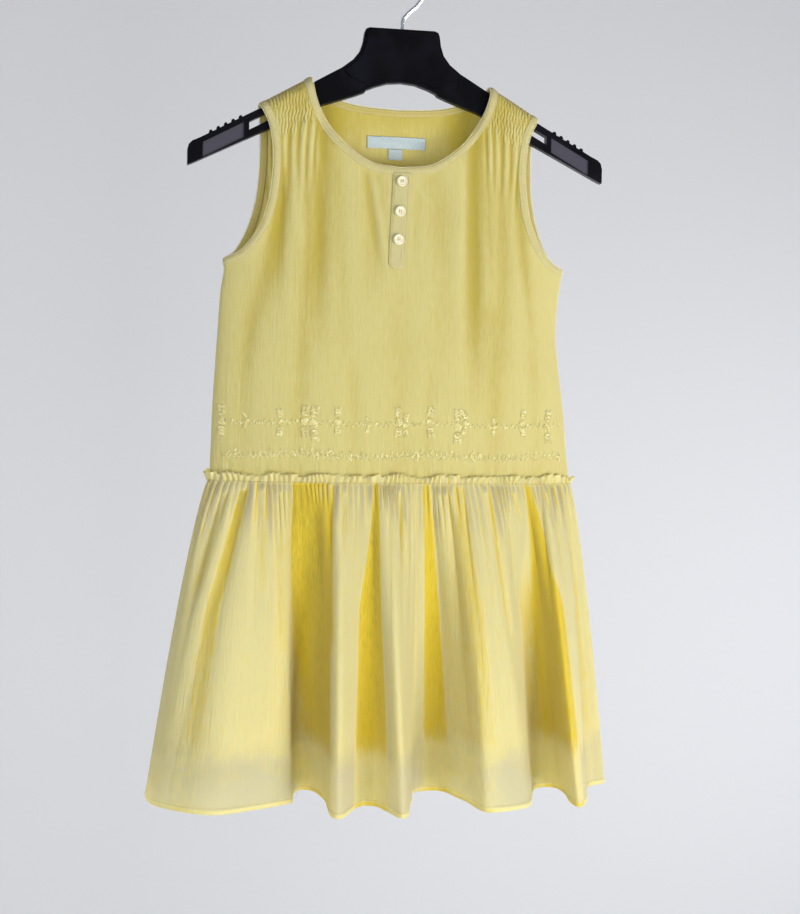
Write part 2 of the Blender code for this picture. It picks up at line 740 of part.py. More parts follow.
# ---------------------------------------------------------------- build
clear_scene()
MATS = dict(
    hanger=material("hanger_black", (0.012, 0.013, 0.018), 0.28, 0.0, 0.4),
    steel=material("hook_steel", (0.62, 0.63, 0.65), 0.25, 1.0),
    voile=material("voile_yellow", (0.86, 0.80, 0.34), 0.85),
    binding=material("binding_yellow", (0.84, 0.79, 0.40), 0.85),
    lining=material("lining_yellow", (0.88, 0.83, 0.45), 0.8),
    button=material("button_pearl", (0.90, 0.86, 0.70), 0.3),
    label=material("label_grey", (0.66, 0.72, 0.75), 0.7),
)
build_hanger(MATS)
build_cloth(MATS)
build_front_trim(MATS)
build_labels(MATS["label"])
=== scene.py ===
# %% [markdown]
# # A lemon voile sundress on its hanger
# The dress is a child's sleeveless sundress: a straight bodice with bound neck and
# armholes, and a gathered skirt sewn on low, under a little frill.  It hangs empty and
# nearly flat on a moulded black hanger.  The frame that is loaded first holds every piece
# at its real size.  This script then makes the fine surface of each one.
# %% Load the frame
import math

import bpy
import numpy as np
from mathutils import Matrix, Vector


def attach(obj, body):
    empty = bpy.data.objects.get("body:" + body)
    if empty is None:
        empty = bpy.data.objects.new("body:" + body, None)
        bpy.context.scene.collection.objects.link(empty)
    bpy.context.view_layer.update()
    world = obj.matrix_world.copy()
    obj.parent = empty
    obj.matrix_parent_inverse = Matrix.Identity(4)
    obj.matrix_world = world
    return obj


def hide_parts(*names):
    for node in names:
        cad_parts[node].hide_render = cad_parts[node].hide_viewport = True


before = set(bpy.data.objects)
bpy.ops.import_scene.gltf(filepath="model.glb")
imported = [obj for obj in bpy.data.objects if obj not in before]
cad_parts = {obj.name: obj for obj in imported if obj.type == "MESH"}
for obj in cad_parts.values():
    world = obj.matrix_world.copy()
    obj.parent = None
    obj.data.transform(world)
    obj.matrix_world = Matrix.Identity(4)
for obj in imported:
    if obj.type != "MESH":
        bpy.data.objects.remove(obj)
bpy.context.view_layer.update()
bpy.ops.object.select_all(action="DESELECT")
MM = 0.001
scene = bpy.context.scene

# %% [markdown]
# ## Camera
# The dress is seen almost square on, from a little to its left, with the hook at the top of
# the view.  A normal lens from about one and a half metres keeps its sides upright.
# The view is set from plain numbers: where the eye stands, how far it turns and tips, and
# how much it leans.
# %% Camera
EYE = Vector((-248.2, -1447.8, -418.9))
AZIMUTH = math.radians(-10.0)
PITCH = math.radians(-2.75)
LEAN = math.radians(1.2)
LENS_MM = 57.1

ahead = Vector((-math.sin(AZIMUTH) * math.cos(PITCH), math.cos(AZIMUTH) * math.cos(PITCH),
                math.sin(PITCH)))
level = Vector((math.cos(AZIMUTH), math.sin(AZIMUTH), 0.0))
upright = level.cross(ahead)
right = level * math.cos(LEAN) + upright * math.sin(LEAN)
upward = upright * math.cos(LEAN) - level * math.sin(LEAN)
bpy.ops.object.camera_add(location=EYE * MM)
camera = bpy.context.object
camera.rotation_euler = Matrix((right, upward, -ahead)).transposed().to_euler()
camera.data.sensor_width = 36.0
camera.data.lens = LENS_MM
camera.data.clip_end = 20.0
scene.camera = camera
print("camera", [round(c) for c in EYE], "mm, lens", LENS_MM)

# %% [markdown]
# ## Studio
# A pale sweep of paper stands behind and runs forward under the dress, so there is no edge
# between wall and floor.  The main light is large and soft and comes from the right, which
# leaves the hollows of the folds in shade.  A wide one on the left and a small one in front
# fill the shadows.  Two stand behind the dress and shine through the thin cloth, and the
# last only lights the wall.
# %% Stage and lights


def sweep():
    """A backdrop that curves into the floor."""
    bpy.ops.mesh.primitive_grid_add(x_subdivisions=2, y_subdivisions=60, size=1.0)
    obj = bpy.context.object
    obj.name = "studio_sweep"
    back, floor_z, bend, wide, length = 2.7, -3.2, 1.2, 14.0, 11.0
    flat = 6.0 - bend
    arc = bend * math.pi / 2
    for v in obj.data.vertices:
        run = (v.co.y + 0.5) * length
        if run < flat:
            y, z = back - bend - flat + run, floor_z
        elif run < flat + arc:
            a = (run - flat) / bend
            y, z = back - bend + bend * math.sin(a), floor_z + bend * (1 - math.cos(a))
        else:
            y, z = back, floor_z + bend + (run - flat - arc)
        v.co = (v.co.x * wide, y, z)
    bpy.ops.object.shade_smooth()


def soft_light(name, place, aim, size, power, color):
    bpy.ops.object.light_add(type="AREA", location=place)
    lamp = bpy.context.object
    lamp.name = name
    lamp.data.shape = "RECTANGLE"
    lamp.data.size, lamp.data.size_y = size
    lamp.data.energy = power
    lamp.data.color = color
    lamp.rotation_euler = (Vector(aim) - Vector(place)).to_track_quat("-Z", "Y").to_euler()


sweep()
MIDDLE, WALL = (0.0, 0.0, -0.5), (0.5, 2.7, -0.8)
for light in (
        ("key_right", (1.55, -1.85, -1.05), MIDDLE, (1.1, 1.2), 64.0, (1.0, 0.985, 0.96)),
        ("fill_left", (-1.5, -2.3, -0.95), MIDDLE, (1.8, 1.8), 38.0, (0.93, 0.96, 1.0)),
        ("front_soft", (0.35, -2.6, -0.95), MIDDLE, (1.0, 0.9), 12.0, (1.0, 0.99, 0.96)),
        ("through_back", (1.2, 1.25, -0.5), MIDDLE, (0.9, 1.4), 34.0, (1.0, 0.99, 0.97)),
        ("through_left", (-1.2, 1.35, -0.3), MIDDLE, (0.9, 1.2), 16.0, (0.96, 0.98, 1.0)),
        ("wall_wash", (2.3, 0.8, -1.2), WALL, (1.2, 1.2), 16.0, (0.92, 0.94, 1.0))):
    soft_light(*light)
world = bpy.data.worlds.new("studio_air")
scene.world = world
world.use_nodes = True
air = world.node_tree.nodes["Background"]
air.inputs["Color"].default_value = (0.85, 0.89, 1.0, 1.0)
air.inputs["Strength"].default_value = 0.34
scene.view_settings.view_transform = "Standard"
scene.view_settings.look = "None"

# %% [markdown]
# ## A short way to write materials
# Node trees are easier to read as sums.  `Value` wraps one socket and turns Python's own
# operators into Math nodes, and `Recipe.node` adds any other node: its settings first, then
# what its sockets are given.
# %% Node helpers


class Value:
    def __init__(self, recipe, socket):
        self.recipe = recipe
        self.socket = socket

    def math(self, operation, *others):
        node = self.recipe.node("ShaderNodeMath", {"operation": operation})
        for socket, value in zip(node.inputs, (self, *others)):
            self.recipe.give(socket, value)
        return Value(self.recipe, node.outputs[0])

    def __add__(self, other):
        return self.math("ADD", other)

    __radd__ = __add__

    def __mul__(self, other):
        return self.math("MULTIPLY", other)

    __rmul__ = __mul__

    def __sub__(self, other):
        return self.math("SUBTRACT", other)

    def __rsub__(self, other):
        return (self * -1.0) + other

    def within(self, low, high):
        """Rises from 0 to 1 as the value goes from low to high, and stays there."""
        node = self.recipe.node("ShaderNodeMapRange", {"interpolation_type": "SMOOTHSTEP"},
                                {0: self, 1: low, 2: high, 3: 0.0, 4: 1.0})
        return Value(self.recipe, node.outputs[0])


class Recipe:
    """One material and the nodes that make it."""

    def __init__(self, name):
        self.material = bpy.data.materials.new(name)
        self.material.use_nodes = True
        self.tree = self.material.node_tree
        self.tree.nodes.clear()

    def give(self, socket, value):
        if isinstance(value, Value):
            self.tree.links.new(value.socket, socket)
        elif hasattr(value, "outputs"):
            self.tree.links.new(value.outputs[0], socket)
        elif value is not None:
            socket.default_value = value

    def node(self, kind, settings=None, inputs=None):
        node = self.tree.nodes.new(kind)
        for key, value in (settings or {}).items():
            setattr(node, key, value)
        for key, value in (inputs or {}).items():
            self.give(node.inputs[key], value)
        return node

    def value(self, kind, settings=None, inputs=None, output=0):
        return Value(self, self.node(kind, settings, inputs).outputs[output])

    def place(self, which="UV", scale=(1.0, 1.0, 1.0), shift=(0.0, 0.0, 0.0)):
        coords = Value(self, self.node("ShaderNodeTexCoord").outputs[which])
        return self.value("ShaderNodeMapping", None,
                          {"Vector": coords, "Scale": scale, "Location": shift})

    def noise(self, where, scale, detail=2.0, rough=0.5):
        return self.value("ShaderNodeTexNoise", None,
                          {"Vector": where, "Scale": scale, "Detail": detail,
                           "Roughness": rough})

    def threads(self, where, direction, scale, distortion, detail=2.0):
        return self.value("ShaderNodeTexWave", {"bands_direction": direction},
                          {"Vector": where, "Scale": scale, "Distortion": distortion,
                           "Detail": detail})

    def blend(self, amount, a, b):
        """Colour a where the amount is 0, and b where it is 1."""
        node = self.node("ShaderNodeMix", {"data_type": "RGBA"})
        self.give(node.inputs[0], amount)
        self.give(node.inputs[6], a)
        self.give(node.inputs[7], b)
        return Value(self, node.outputs[2])

    def bump(self, height, strength, distance):
        return self.value("ShaderNodeBump", None,
                          {"Height": height, "Strength": strength, "Distance": distance})

    def surface(self, color, rough, normal, others):
        """The surface shader, with whatever other sockets are given by name."""
        return self.node("ShaderNodeBsdfPrincipled", None,
                         {"Base Color": color, "Roughness": rough, "Normal": normal, **others})

    def finish(self, shader):
        out = self.node("ShaderNodeOutputMaterial")
        self.tree.links.new(shader.outputs[0], out.inputs["Surface"])
        return self.material


def rgb(r, g, b):
    return (r, g, b, 1.0)


# %% [markdown]
# ## Finishes of the cloth
# Voile is a very fine open cotton.  Its warp is slightly crinkled, which draws thin
# upright streaks, and light goes through it.  So its finish is a matt surface mixed with
# a little light from behind, a bump of upright streaks over a fine plain weave, and
# threads of uneven colour.  A sewn cloth needs its grain to follow it, so the pattern is
# read from each piece's own UV map, laid out in metres.  Light and shade are also painted
# into the colour: each cloth mesh carries a value of painted shading, and the colour
# follows it, from a paler colour painted for light shining through a single layer (below
# 0), over the crest's plain colour (0), to a saturated gold painted as shade in the folds
# (1), and a darker painted shade above that.
# %% Cloth finish
CREST, PAINTED_FOLD_SHADE, PAINTED_DARKEST_SHADE = rgb(0.97, 0.93, 0.53), rgb(0.94, 0.73, 0.045), rgb(0.60, 0.45, 0.025)
PAINTED_BACKLIGHT, PALE_THREAD = rgb(0.80, 0.80, 0.69), rgb(0.98, 0.96, 0.82)
THROUGH = rgb(0.97, 0.87, 0.26)


def cloth_finish(name, crest, deep, share, streak, opacity, sheer=0.0):
    """`share` of the light goes through, `streak` is how crinkled it is, and where more shade is
    painted on a sheer cloth, less is seen behind it.  `crest` is the plain colour and `deep` the
    saturated painted shade of the folds."""
    r = Recipe(name)
    slub = r.noise(r.place("UV", (900.0, 45.0, 1.0)), 1.0, 3.0, 0.6)
    crinkle = r.noise(r.place("UV", (330.0, 14.0, 1.0), (3.1, 0.7, 0.0)), 1.0, 3.0, 0.55)
    cross = r.noise(r.place("UV", (60.0, 1500.0, 1.0)), 1.0, 2.0, 0.5)
    crepe = r.noise(r.place("UV", (420.0, 75.0, 1.0), (0.4, 2.3, 0.0)), 1.0, 2.0, 0.6)
    cloud = r.noise(r.place("Object"), 14.0, 2.0)
    weave = (r.threads(r.place("UV"), "X", 640.0, 0.6, 1.0)
             * r.threads(r.place("UV"), "Y", 560.0, 0.6, 1.0))
    painted_shading = r.value("ShaderNodeAttribute", {"attribute_name": "painted_shading"}, None, 2)
    tone = (painted_shading + (crinkle - 0.5) * (0.45 * streak) + (slub - 0.5) * (0.4 * streak)
            + (crepe - 0.5) * (0.9 * streak) + (cloud - 0.5) * 0.2)
    # Painted shade: the crest colour turns to the saturated gold painted in the folds, below zero
    # to a paler colour painted for light through a single layer, and above one to a darker painted
    # shade.
    color = r.blend(tone.within(0.0, 1.0), crest, deep)
    color = r.blend(tone.within(-0.45, 0.0), PAINTED_BACKLIGHT if sheer else crest, color)
    darkest_shade = tone.within(1.0, 1.5)
    color = r.blend(darkest_shade, color, PAINTED_DARKEST_SHADE)
    opacity = (painted_shading * sheer + opacity).math("MINIMUM", 1.0)
    color = r.blend((cross * slub).within(0.3, 0.5) * 0.12, color, PALE_THREAD)
    height = (crinkle * (0.8 * streak) + crepe * (1.3 * streak) + slub * (0.5 * streak)
              + weave * 0.25 + cross * 0.1)
    skin = r.surface(color, slub * 0.15 + 0.72, r.bump(height, 0.8, 0.0014),
                     {"Sheen Weight": 0.25, "Sheen Roughness": 0.5,
                      "Specular IOR Level": 0.25, "Alpha": opacity})
    back = r.node("ShaderNodeBsdfTranslucent", None, {"Color": THROUGH})
    # Less light goes through where the darkest shade is painted.
    mix = r.node("ShaderNodeMixShader", None, {0: (1.0 - darkest_shade * 0.65) * share})
    r.tree.links.new(skin.outputs[0], mix.inputs[1])
    r.tree.links.new(back.outputs[0], mix.inputs[2])
    return r.finish(mix)


cloth = dict(
    voile_yellow=(CREST, PAINTED_FOLD_SHADE, 0.42, 1.0, 0.80, 0.6),
    voile_yellow_lined=(rgb(0.72, 0.645, 0.26), rgb(0.54, 0.43, 0.06), 0.24, 0.6, 1.0),
    binding_yellow=(rgb(0.68, 0.62, 0.31), rgb(0.55, 0.45, 0.11), 0.2, 0.5, 1.0),
    lining_yellow=(rgb(0.90, 0.83, 0.42), rgb(0.82, 0.66, 0.12), 0.35, 0.4, 0.94))
voile, bodice_voile, binding_cloth, lining_cloth = (cloth_finish(name, *values)
                                                    for name, values in cloth.items())
print("cloth finishes:", voile.name, bodice_voile.name, binding_cloth.name, lining_cloth.name)

# %% [markdown]
# ## Finishes of the small and hard parts
# Sewing thread shines a little more than the cloth and is twisted.  The buttons are pearly
# resin, cream with cloudy layers.  The labels are plain woven tape, left blank.  The
# hanger is satin black plastic, paler in the recesses of its ends, with a bright wire hook.
# %% Thread, pearl, tape, plastic and steel
FINE_RELIEF = 0.0002
RECESS_FROM, RECESS_FLOOR = 155.0, 4.0


def thread_finish(name, color, shade):
    r = Recipe(name)
    where = r.place("Object")
    twist = r.threads(where, "DIAGONAL", 900.0, 1.0)
    grain = r.noise(where, 260.0, 2.0)
    tint = r.blend(grain.within(0.3, 0.7), color, shade)
    return r.finish(r.surface(tint, 0.55 + grain * 0.15, r.bump(twist, 0.4, FINE_RELIEF),
                              {"Sheen Weight": 0.3}))


def pearl_finish():
    r = Recipe("button_pearl")
    where = r.place("Object", (1.0, 1.0, 2.2))
    layers = r.noise(where, 190.0, 3.0, 0.6)
    cloud = r.noise(where, 60.0, 2.0)
    color = r.blend(layers.within(0.35, 0.65), rgb(0.80, 0.74, 0.52), rgb(0.66, 0.60, 0.40))
    color = r.blend(cloud.within(0.45, 0.7) * 0.5, color, rgb(0.86, 0.84, 0.70))
    return r.finish(r.surface(color, 0.18 + layers * 0.15, r.bump(layers, 0.15, FINE_RELIEF),
                              {"Coat Weight": 0.5, "Coat Roughness": 0.12}))


def tape_finish():
    r = Recipe("label_grey")
    weave = (r.threads(r.place("UV"), "X", 900.0, 0.3)
             * r.threads(r.place("UV"), "Y", 700.0, 0.3))
    fleck = r.noise(r.place("UV", (900.0, 500.0, 1.0)), 1.0, 2.0)
    color = r.blend(fleck.within(0.3, 0.7), rgb(0.36, 0.44, 0.46), rgb(0.46, 0.53, 0.52))
    return r.finish(r.surface(color, 0.5 + fleck * 0.2, r.bump(weave, 0.4, FINE_RELIEF),
                              {"Sheen Weight": 0.2}))


def plastic_finish():
    r = Recipe("hanger_black")
    where = r.place("Object")
    haze = r.noise(where, 35.0, 3.0)
    grain = r.noise(where, 1100.0, 2.0)
    color = r.blend(haze.within(0.35, 0.7), rgb(0.002, 0.002, 0.003), rgb(0.004, 0.004, 0.007))
    parts = r.node("ShaderNodeSeparateXYZ", None, {0: where})
    across, deep = (Value(r, parts.outputs[k]).math("ABSOLUTE") for k in (0, 1))
    far = across.math("GREATER_THAN", RECESS_FROM * MM)
    sunk = 1 - deep.math("GREATER_THAN", RECESS_FLOOR * MM)
    color = r.blend(far * sunk, color, rgb(0.055, 0.053, 0.068))
    return r.finish(r.surface(color, 0.26 + haze * 0.14, r.bump(grain, 0.12, FINE_RELIEF),
                              {"Specular IOR Level": 0.09}))


def steel_finish():
    r = Recipe("hook_steel")
    drawn = r.noise(r.place("Object", (900.0, 900.0, 60.0)), 1.0, 3.0)
    spots = r.noise(r.place("Object"), 90.0, 2.0)
    color = r.blend(spots.within(0.4, 0.7), rgb(0.62, 0.63, 0.65), rgb(0.52, 0.53, 0.56))
    return r.finish(r.surface(color, 0.18 + drawn * 0.2, r.bump(drawn, 0.2, FINE_RELIEF),
                              {"Metallic": 1.0}))


thread = thread_finish("thread_cream", rgb(0.82, 0.76, 0.46), rgb(0.68, 0.60, 0.30))
thread_gold = thread_finish("thread_straw", rgb(0.74, 0.67, 0.31), rgb(0.50, 0.42, 0.13))
thread_dark = thread_finish("thread_ochre", rgb(0.55, 0.44, 0.12), rgb(0.42, 0.33, 0.09))
pearl = pearl_finish()
tape = tape_finish()
plastic = plastic_finish()
steel = steel_finish()

# %% [markdown]
# ## Sizes of the dress
# These are the making sizes, in millimetres.  The bodice is a list of level sections,
# and each free edge is a short list of points from the centre or the shoulder outwards.
# The hem is drawn in plan: one row at each crest, flank and trough of a fold.
# %% Bodice sizes
WAIST_Z, THIRD_Z, HEM_Z, LINING_Z = -514.0, -640.0, -838.0, -786.0
BIND_W = 6.5
SHOULDER_ROLL = 14.0
NECK_POINT, SHOULDER_TIP = (91.0, -115.0), (141.0, -143.5)
EDGE_CROWD = 1.35
NECK_SHARE = 0.74
SHIRR_ROW, SHIRR_PITCH = 5.6, 3.1
LEAST_DEPTH = 0.15
PROUD = 0.35


def rows_of(columns, *rows):
    """A table whose columns are named once, above its rows."""
    return [dict(zip(columns.split(), row)) for row in rows]


BODICE = rows_of("z left right front back",
    (-110, 222, 214, 15, 14),
    (-200, 202, 197, 16, 15),
    (-250, 186, 181, 19, 17),
    (-300, 173, 171, 23, 20),
    (-330, 176, 167, 25, 22),
    (-365, 178, 166, 27, 24),
    (-400, 180, 170, 29, 26),
    (-440, 182, 176, 30, 27),
    (-480, 183, 180, 30, 28),
    (-514, 184, 184, 30, 28))
NECK_FRONT = rows_of("x z",
    (0, -202), (30, -198), (53, -184), (70, -167), (82, -148), (88, -133), (90.5, -121),
    (91, -115))
NECK_BACK = rows_of("x z",
    (0, -139.5), (40, -137), (69, -130.5), (84, -122.5), (89.5, -117.5), (91, -115))
ARM_FRONT = rows_of("x z",
    (141, -143.5), (136.5, -151), (131, -163), (127.5, -180), (126.5, -200), (128, -222),
    (131.5, -243), (138, -262), (147, -277), (158, -289), (173, -296))
ARM_BACK = rows_of("x z",
    (141, -143.5), (139.5, -150), (138.5, -162), (138, -182), (138.5, -206), (140.5, -228),
    (144.5, -248), (150, -265), (156.5, -279), (163, -289), (173, -296))

# %% [markdown]
# The bodice's folds fall from the shirred shoulders.  Each row is one soft trough: where
# it starts and ends, how deep it is and how wide.  No two are alike.  A negative depth
# makes a ridge.
# %% Folds of the bodice
FOLDS_FRONT = rows_of("top foot z0 z1 depth half",
    (-80, -82, -150, -360, 5.0, 10),
    (73, 76, -140, -410, 5.5, 10),
    (-108, -132, -165, -350, 3.0, 9),
    (100, 108, -160, -390, 3.0, 9),
    (-26, -34, -205, -330, 1.6, 12),
    (30, 36, -200, -290, 1.6, 12))
CREASES_FRONT = rows_of("top foot z0 z1 depth half",
    (-97, -92, -178, -300, 1.3, 4.0),
    (-119, -121, -178, -330, 1.4, 5.0),
    (-88, -76, -165, -240, -0.8, 3.5),
    (-66, -57, -175, -380, 1.1, 8.0),
    (-113, -105, -190, -270, -0.7, 4.0),
    (-120, -152, -225, -395, 1.6, 8.0),
    (-95, -101, -300, -500, 1.4, 9.0),
    (86, 93, -160, -320, 1.3, 4.5),
    (112, 131, -175, -330, 1.5, 6.0),
    (63, 58, -185, -330, -0.8, 5.0),
    (122, 141, -215, -400, 1.2, 6.0),
    (94, 100, -340, -500, 1.5, 10.0),
    (45, 40, -230, -420, 0.8, 11.0),
    (-29, -15, -214, -296, -1.8, 2.6),
    (-36, -22, -208, -300, 1.5, 5.0),
    (9, 31, -212, -238, -1.2, 2.2),
    (16, 13, -225, -292, 0.8, 4.0),
    (-4, 2, -330, -505, 0.9, 14.0),
    (-150, -156, -330, -505, 1.0, 9.0),
    (-48, -44, -400, -512, 1.0, 7.0),
    (30, 27, -410, -512, 0.8, 6.0),
    (138, 146, -390, -510, 0.9, 7.0))
FOLDS_BACK = rows_of("top foot z0 z1 depth half",
    (-66, -72, -150, -380, 4.5, 12),
    (62, 70, -150, -400, 4.5, 12),
    (-104, -118, -160, -350, 3.0, 10),
    (104, 120, -160, -350, 3.0, 10),
    (0, 4, -180, -420, 2.5, 16))
CREASES_BACK = rows_of("top foot z0 z1 depth half",
    (-90, -97, -175, -300, 1.3, 5.0),
    (88, 95, -180, -320, 1.3, 5.0),
    (-118, -140, -230, -400, 1.4, 8.0),
    (122, 142, -230, -390, 1.4, 8.0),
    (-40, -34, -170, -340, 1.1, 9.0),
    (38, 30, -190, -360, 1.1, 9.0),
    (-100, -96, -340, -500, 1.3, 10.0),
    (96, 104, -330, -500, 1.3, 10.0))

# %% Skirt sizes
HEM_FRONT = rows_of("x y",
    (-243, 25), (-236, -8), (-212, -34), (-177, -47), (-142, -38), (-112, -25), (-99, -19),
    (-94, -11), (-92, 8), (-86, 26), (-76, 23), (-69, 4), (-66, -30), (-66, -62), (-58, -73),
    (-46, -55), (-36, -38), (-28, -31), (-16, -35), (-9, -50), (0, -74), (7, -75), (15, -48),
    (24, -10), (30, 9), (36, 14), (50, 15), (64, 7), (76, -24), (86, -58), (95, -67), (118, -62),
    (136, -52), (146, -32), (153, -6), (160, 11), (174, 17), (186, 6), (184, -44), (189, -58),
    (202, -36), (219, 12), (241, 27))
HEM_BACK = rows_of("x y",
    (241, 27), (236, 58), (210, 90), (178, 66), (140, 106), (96, 64), (52, 112), (10, 70),
    (-30, 110), (-76, 66), (-120, 104), (-160, 62), (-206, 92), (-236, 58), (-243, 25))
FLARE, SWELL = 0.78, 0.95
GATHER_PITCH, GATHER_SEED = 5.7, {False: 0.4, True: 2.1}
LINING_IN, LINING_ROOM = 5.9, 1.5

# %% [markdown]
# Between those large folds run smaller ones, and shade is painted into each of these
# hollows, a saturated gold darker than the crests.  One row is one of them: the heights where
# it starts and ends, its two edges as shares of the panel's width (at the waist, a third of
# the way down and at the hem), how much shade is painted into it at those three heights, how
# far it sinks in, and how soft its edges are.
# %% Hollows of the skirt
FULL = -900  # below the hem, so the hollow never fades out
HOLLOWS_FRONT = rows_of("z0 z1 top mid foot tone depth soft",
    (-511, FULL, (0.226, 0.318), (0.213, 0.322), (0.200, 0.328), (1.4, 1.0, 0.8), 3.5, 0.003),
    (-513, -700, (0.276, 0.318), (0.300, 0.322), (0.316, 0.326), (0.85, 0.8, 0.85), 0.0, 0.014),
    (-518, FULL, (0.096, 0.112), (0.065, 0.080), (0.054, 0.062), (0.65, 0.6, 0.2), 5.0, 0.008),
    (-522, -660, (0.060, 0.072), (0.030, 0.042), (0.030, 0.042), (0.35, 0.3, 0.1), 2.8, 0.008),
    (-518, -650, (0.144, 0.152), (0.149, 0.158), (0.149, 0.158), (0.4, 0.3, 0.1), 2.2, 0.006),
    (-520, FULL, (0.184, 0.200), (0.176, 0.206), (0.165, 0.204), (0.4, 0.3, 0.15), 3.0, 0.016),
    (-511, FULL, (0.434, 0.446), (0.398, 0.437), (0.389, 0.432), (0.95, 1.05, 0.8), 1.0, 0.004),
    (-520, -600, (0.358, 0.364), (0.362, 0.368), (0.362, 0.368), (0.35, 0.25, 0.1), 1.6, 0.004),
    (-518, -620, (0.493, 0.501), (0.510, 0.519), (0.510, 0.519), (0.45, 0.25, 0.1), 2.2, 0.005),
    (-518, FULL, (0.540, 0.546), (0.546, 0.552), (0.546, 0.552), (0.3, 0.2, 0.1), 1.4, 0.004),
    (-511, FULL, (0.567, 0.580), (0.572, 0.589), (0.573, 0.596), (0.9, 1.0, 0.7), 1.5, 0.004),
    (-520, FULL, (0.600, 0.664), (0.602, 0.684), (0.606, 0.664), (0.3, 0.34, 0.3), 0.0, 0.006),
    (-513, FULL, (0.640, 0.662), (0.644, 0.674), (0.634, 0.658), (0.55, 0.45, 0.3), 1.0, 0.012),
    (-519, -690, (0.722, 0.732), (0.722, 0.734), (0.730, 0.740), (0.5, 0.3, 0.1), 2.8, 0.007),
    (-519, -580, (0.797, 0.805), (0.818, 0.824), (0.818, 0.824), (0.4, 0.2, 0.1), 1.6, 0.005),
    (-525, FULL, (0.842, 0.846), (0.786, 0.830), (0.776, 0.830), (0.0, 0.5, 0.5), 0.0, 0.016),
    (-511, FULL, (0.840, 0.852), (0.812, 0.899), (0.810, 0.889), (0.9, 0.85, 0.7), 1.2, 0.006),
    (-518, -560, (0.892, 0.900), (0.906, 0.912), (0.906, 0.912), (0.45, 0.3, 0.1), 1.4, 0.004),
    (-520, FULL, (0.966, 0.972), (0.966, 0.974), (0.966, 0.974), (0.05, 0.4, 0.3), 1.4, 0.005),
    (-660, FULL, (0.742, 0.760), (0.742, 0.760), (0.745, 0.760), (0.1, 0.1, 0.1), 1.4, 0.010))
HOLLOWS_BACK = rows_of("z0 z1 top mid foot tone depth soft",
    (-520, FULL, (0.17, 0.19), (0.15, 0.20), (0.14, 0.21), (0.8, 0.8, 0.4), 1.0, 0.012),
    (-518, FULL, (0.34, 0.36), (0.32, 0.38), (0.31, 0.38), (0.85, 0.85, 0.4), 1.0, 0.012),
    (-520, FULL, (0.49, 0.51), (0.48, 0.53), (0.48, 0.54), (0.8, 0.8, 0.4), 1.0, 0.012),
    (-519, FULL, (0.66, 0.68), (0.64, 0.70), (0.64, 0.71), (0.85, 0.85, 0.4), 1.0, 0.012),
    (-520, FULL, (0.82, 0.84), (0.81, 0.86), (0.80, 0.87), (0.8, 0.8, 0.4), 1.0, 0.012),
    (-519, -640, (0.27, 0.28), (0.26, 0.27), (0.26, 0.27), (0.5, 0.5, 0.4), 2.0, 0.008),
    (-519, -620, (0.58, 0.59), (0.58, 0.59), (0.58, 0.59), (0.5, 0.5, 0.4), 2.0, 0.008))

# %% [markdown]
# ## Curves and sections
# Three small tools read those tables.  `column` reads one column at any height, `trace`
# runs a smooth curve through points and can hand back any place along it, and `offset`
# moves an edge sideways by a sewing width.
# %% Curve helpers


def smooth(t):
    t = np.clip(t, 0.0, 1.0)
    return t * t * (3 - 2 * t)


def lengths(points):
    """The length run along a line of points, at each of them."""
    return np.concatenate([[0.0], np.cumsum(np.linalg.norm(np.diff(points, axis=0), axis=1))])


def unit(vectors):
    return vectors / np.linalg.norm(vectors, axis=-1)[..., None]


def column(table, key, z):
    """One column of a table of sections, smooth between its rows."""
    heights = np.array([row["z"] for row in table], float)
    sizes = np.array([row[key] for row in table], float)
    z = np.clip(z, heights[-1], heights[0])
    i = np.clip(np.searchsorted(-heights, -z, side="right") - 1, 0, len(heights) - 2)
    before, after = np.maximum(i - 1, 0), np.minimum(i + 2, len(heights) - 1)
    span = heights[i + 1] - heights[i]
    t = (z - heights[i]) / span
    m0 = (sizes[i + 1] - sizes[before]) / (heights[i + 1] - heights[before]) * span
    m1 = (sizes[after] - sizes[i]) / (heights[after] - heights[i]) * span
    return (sizes[i] * (2 * t ** 3 - 3 * t * t + 1) + m0 * (t ** 3 - 2 * t * t + t)
            + sizes[i + 1] * (3 * t * t - 2 * t ** 3) + m1 * (t ** 3 - t * t))


def trace(points, fine=24):
    """A smooth curve through points, with the length run at each of its fine steps."""
    p = np.asarray(points, float)
    p = np.vstack([2 * p[0] - p[1], p, 2 * p[-1] - p[-2]])
    t = (np.arange(fine) / fine)[:, None]
    parts = []
    for a, b, c, d in zip(p, p[1:], p[2:], p[3:]):
        parts.append(0.5 * (2 * b + (c - a) * t + (2 * a - 5 * b + 4 * c - d) * t * t
                            + (3 * b - a - 3 * c + d) * t ** 3))
    curve = np.vstack(parts + [p[-2:-1]])
    return curve, lengths(curve)


def along(curve, run, share):
    """Points at shares (0 to 1) of a curve's length."""
    want = np.asarray(share) * run[-1]
    return np.stack([np.interp(want, run, curve[:, k]) for k in range(curve.shape[1])], -1)


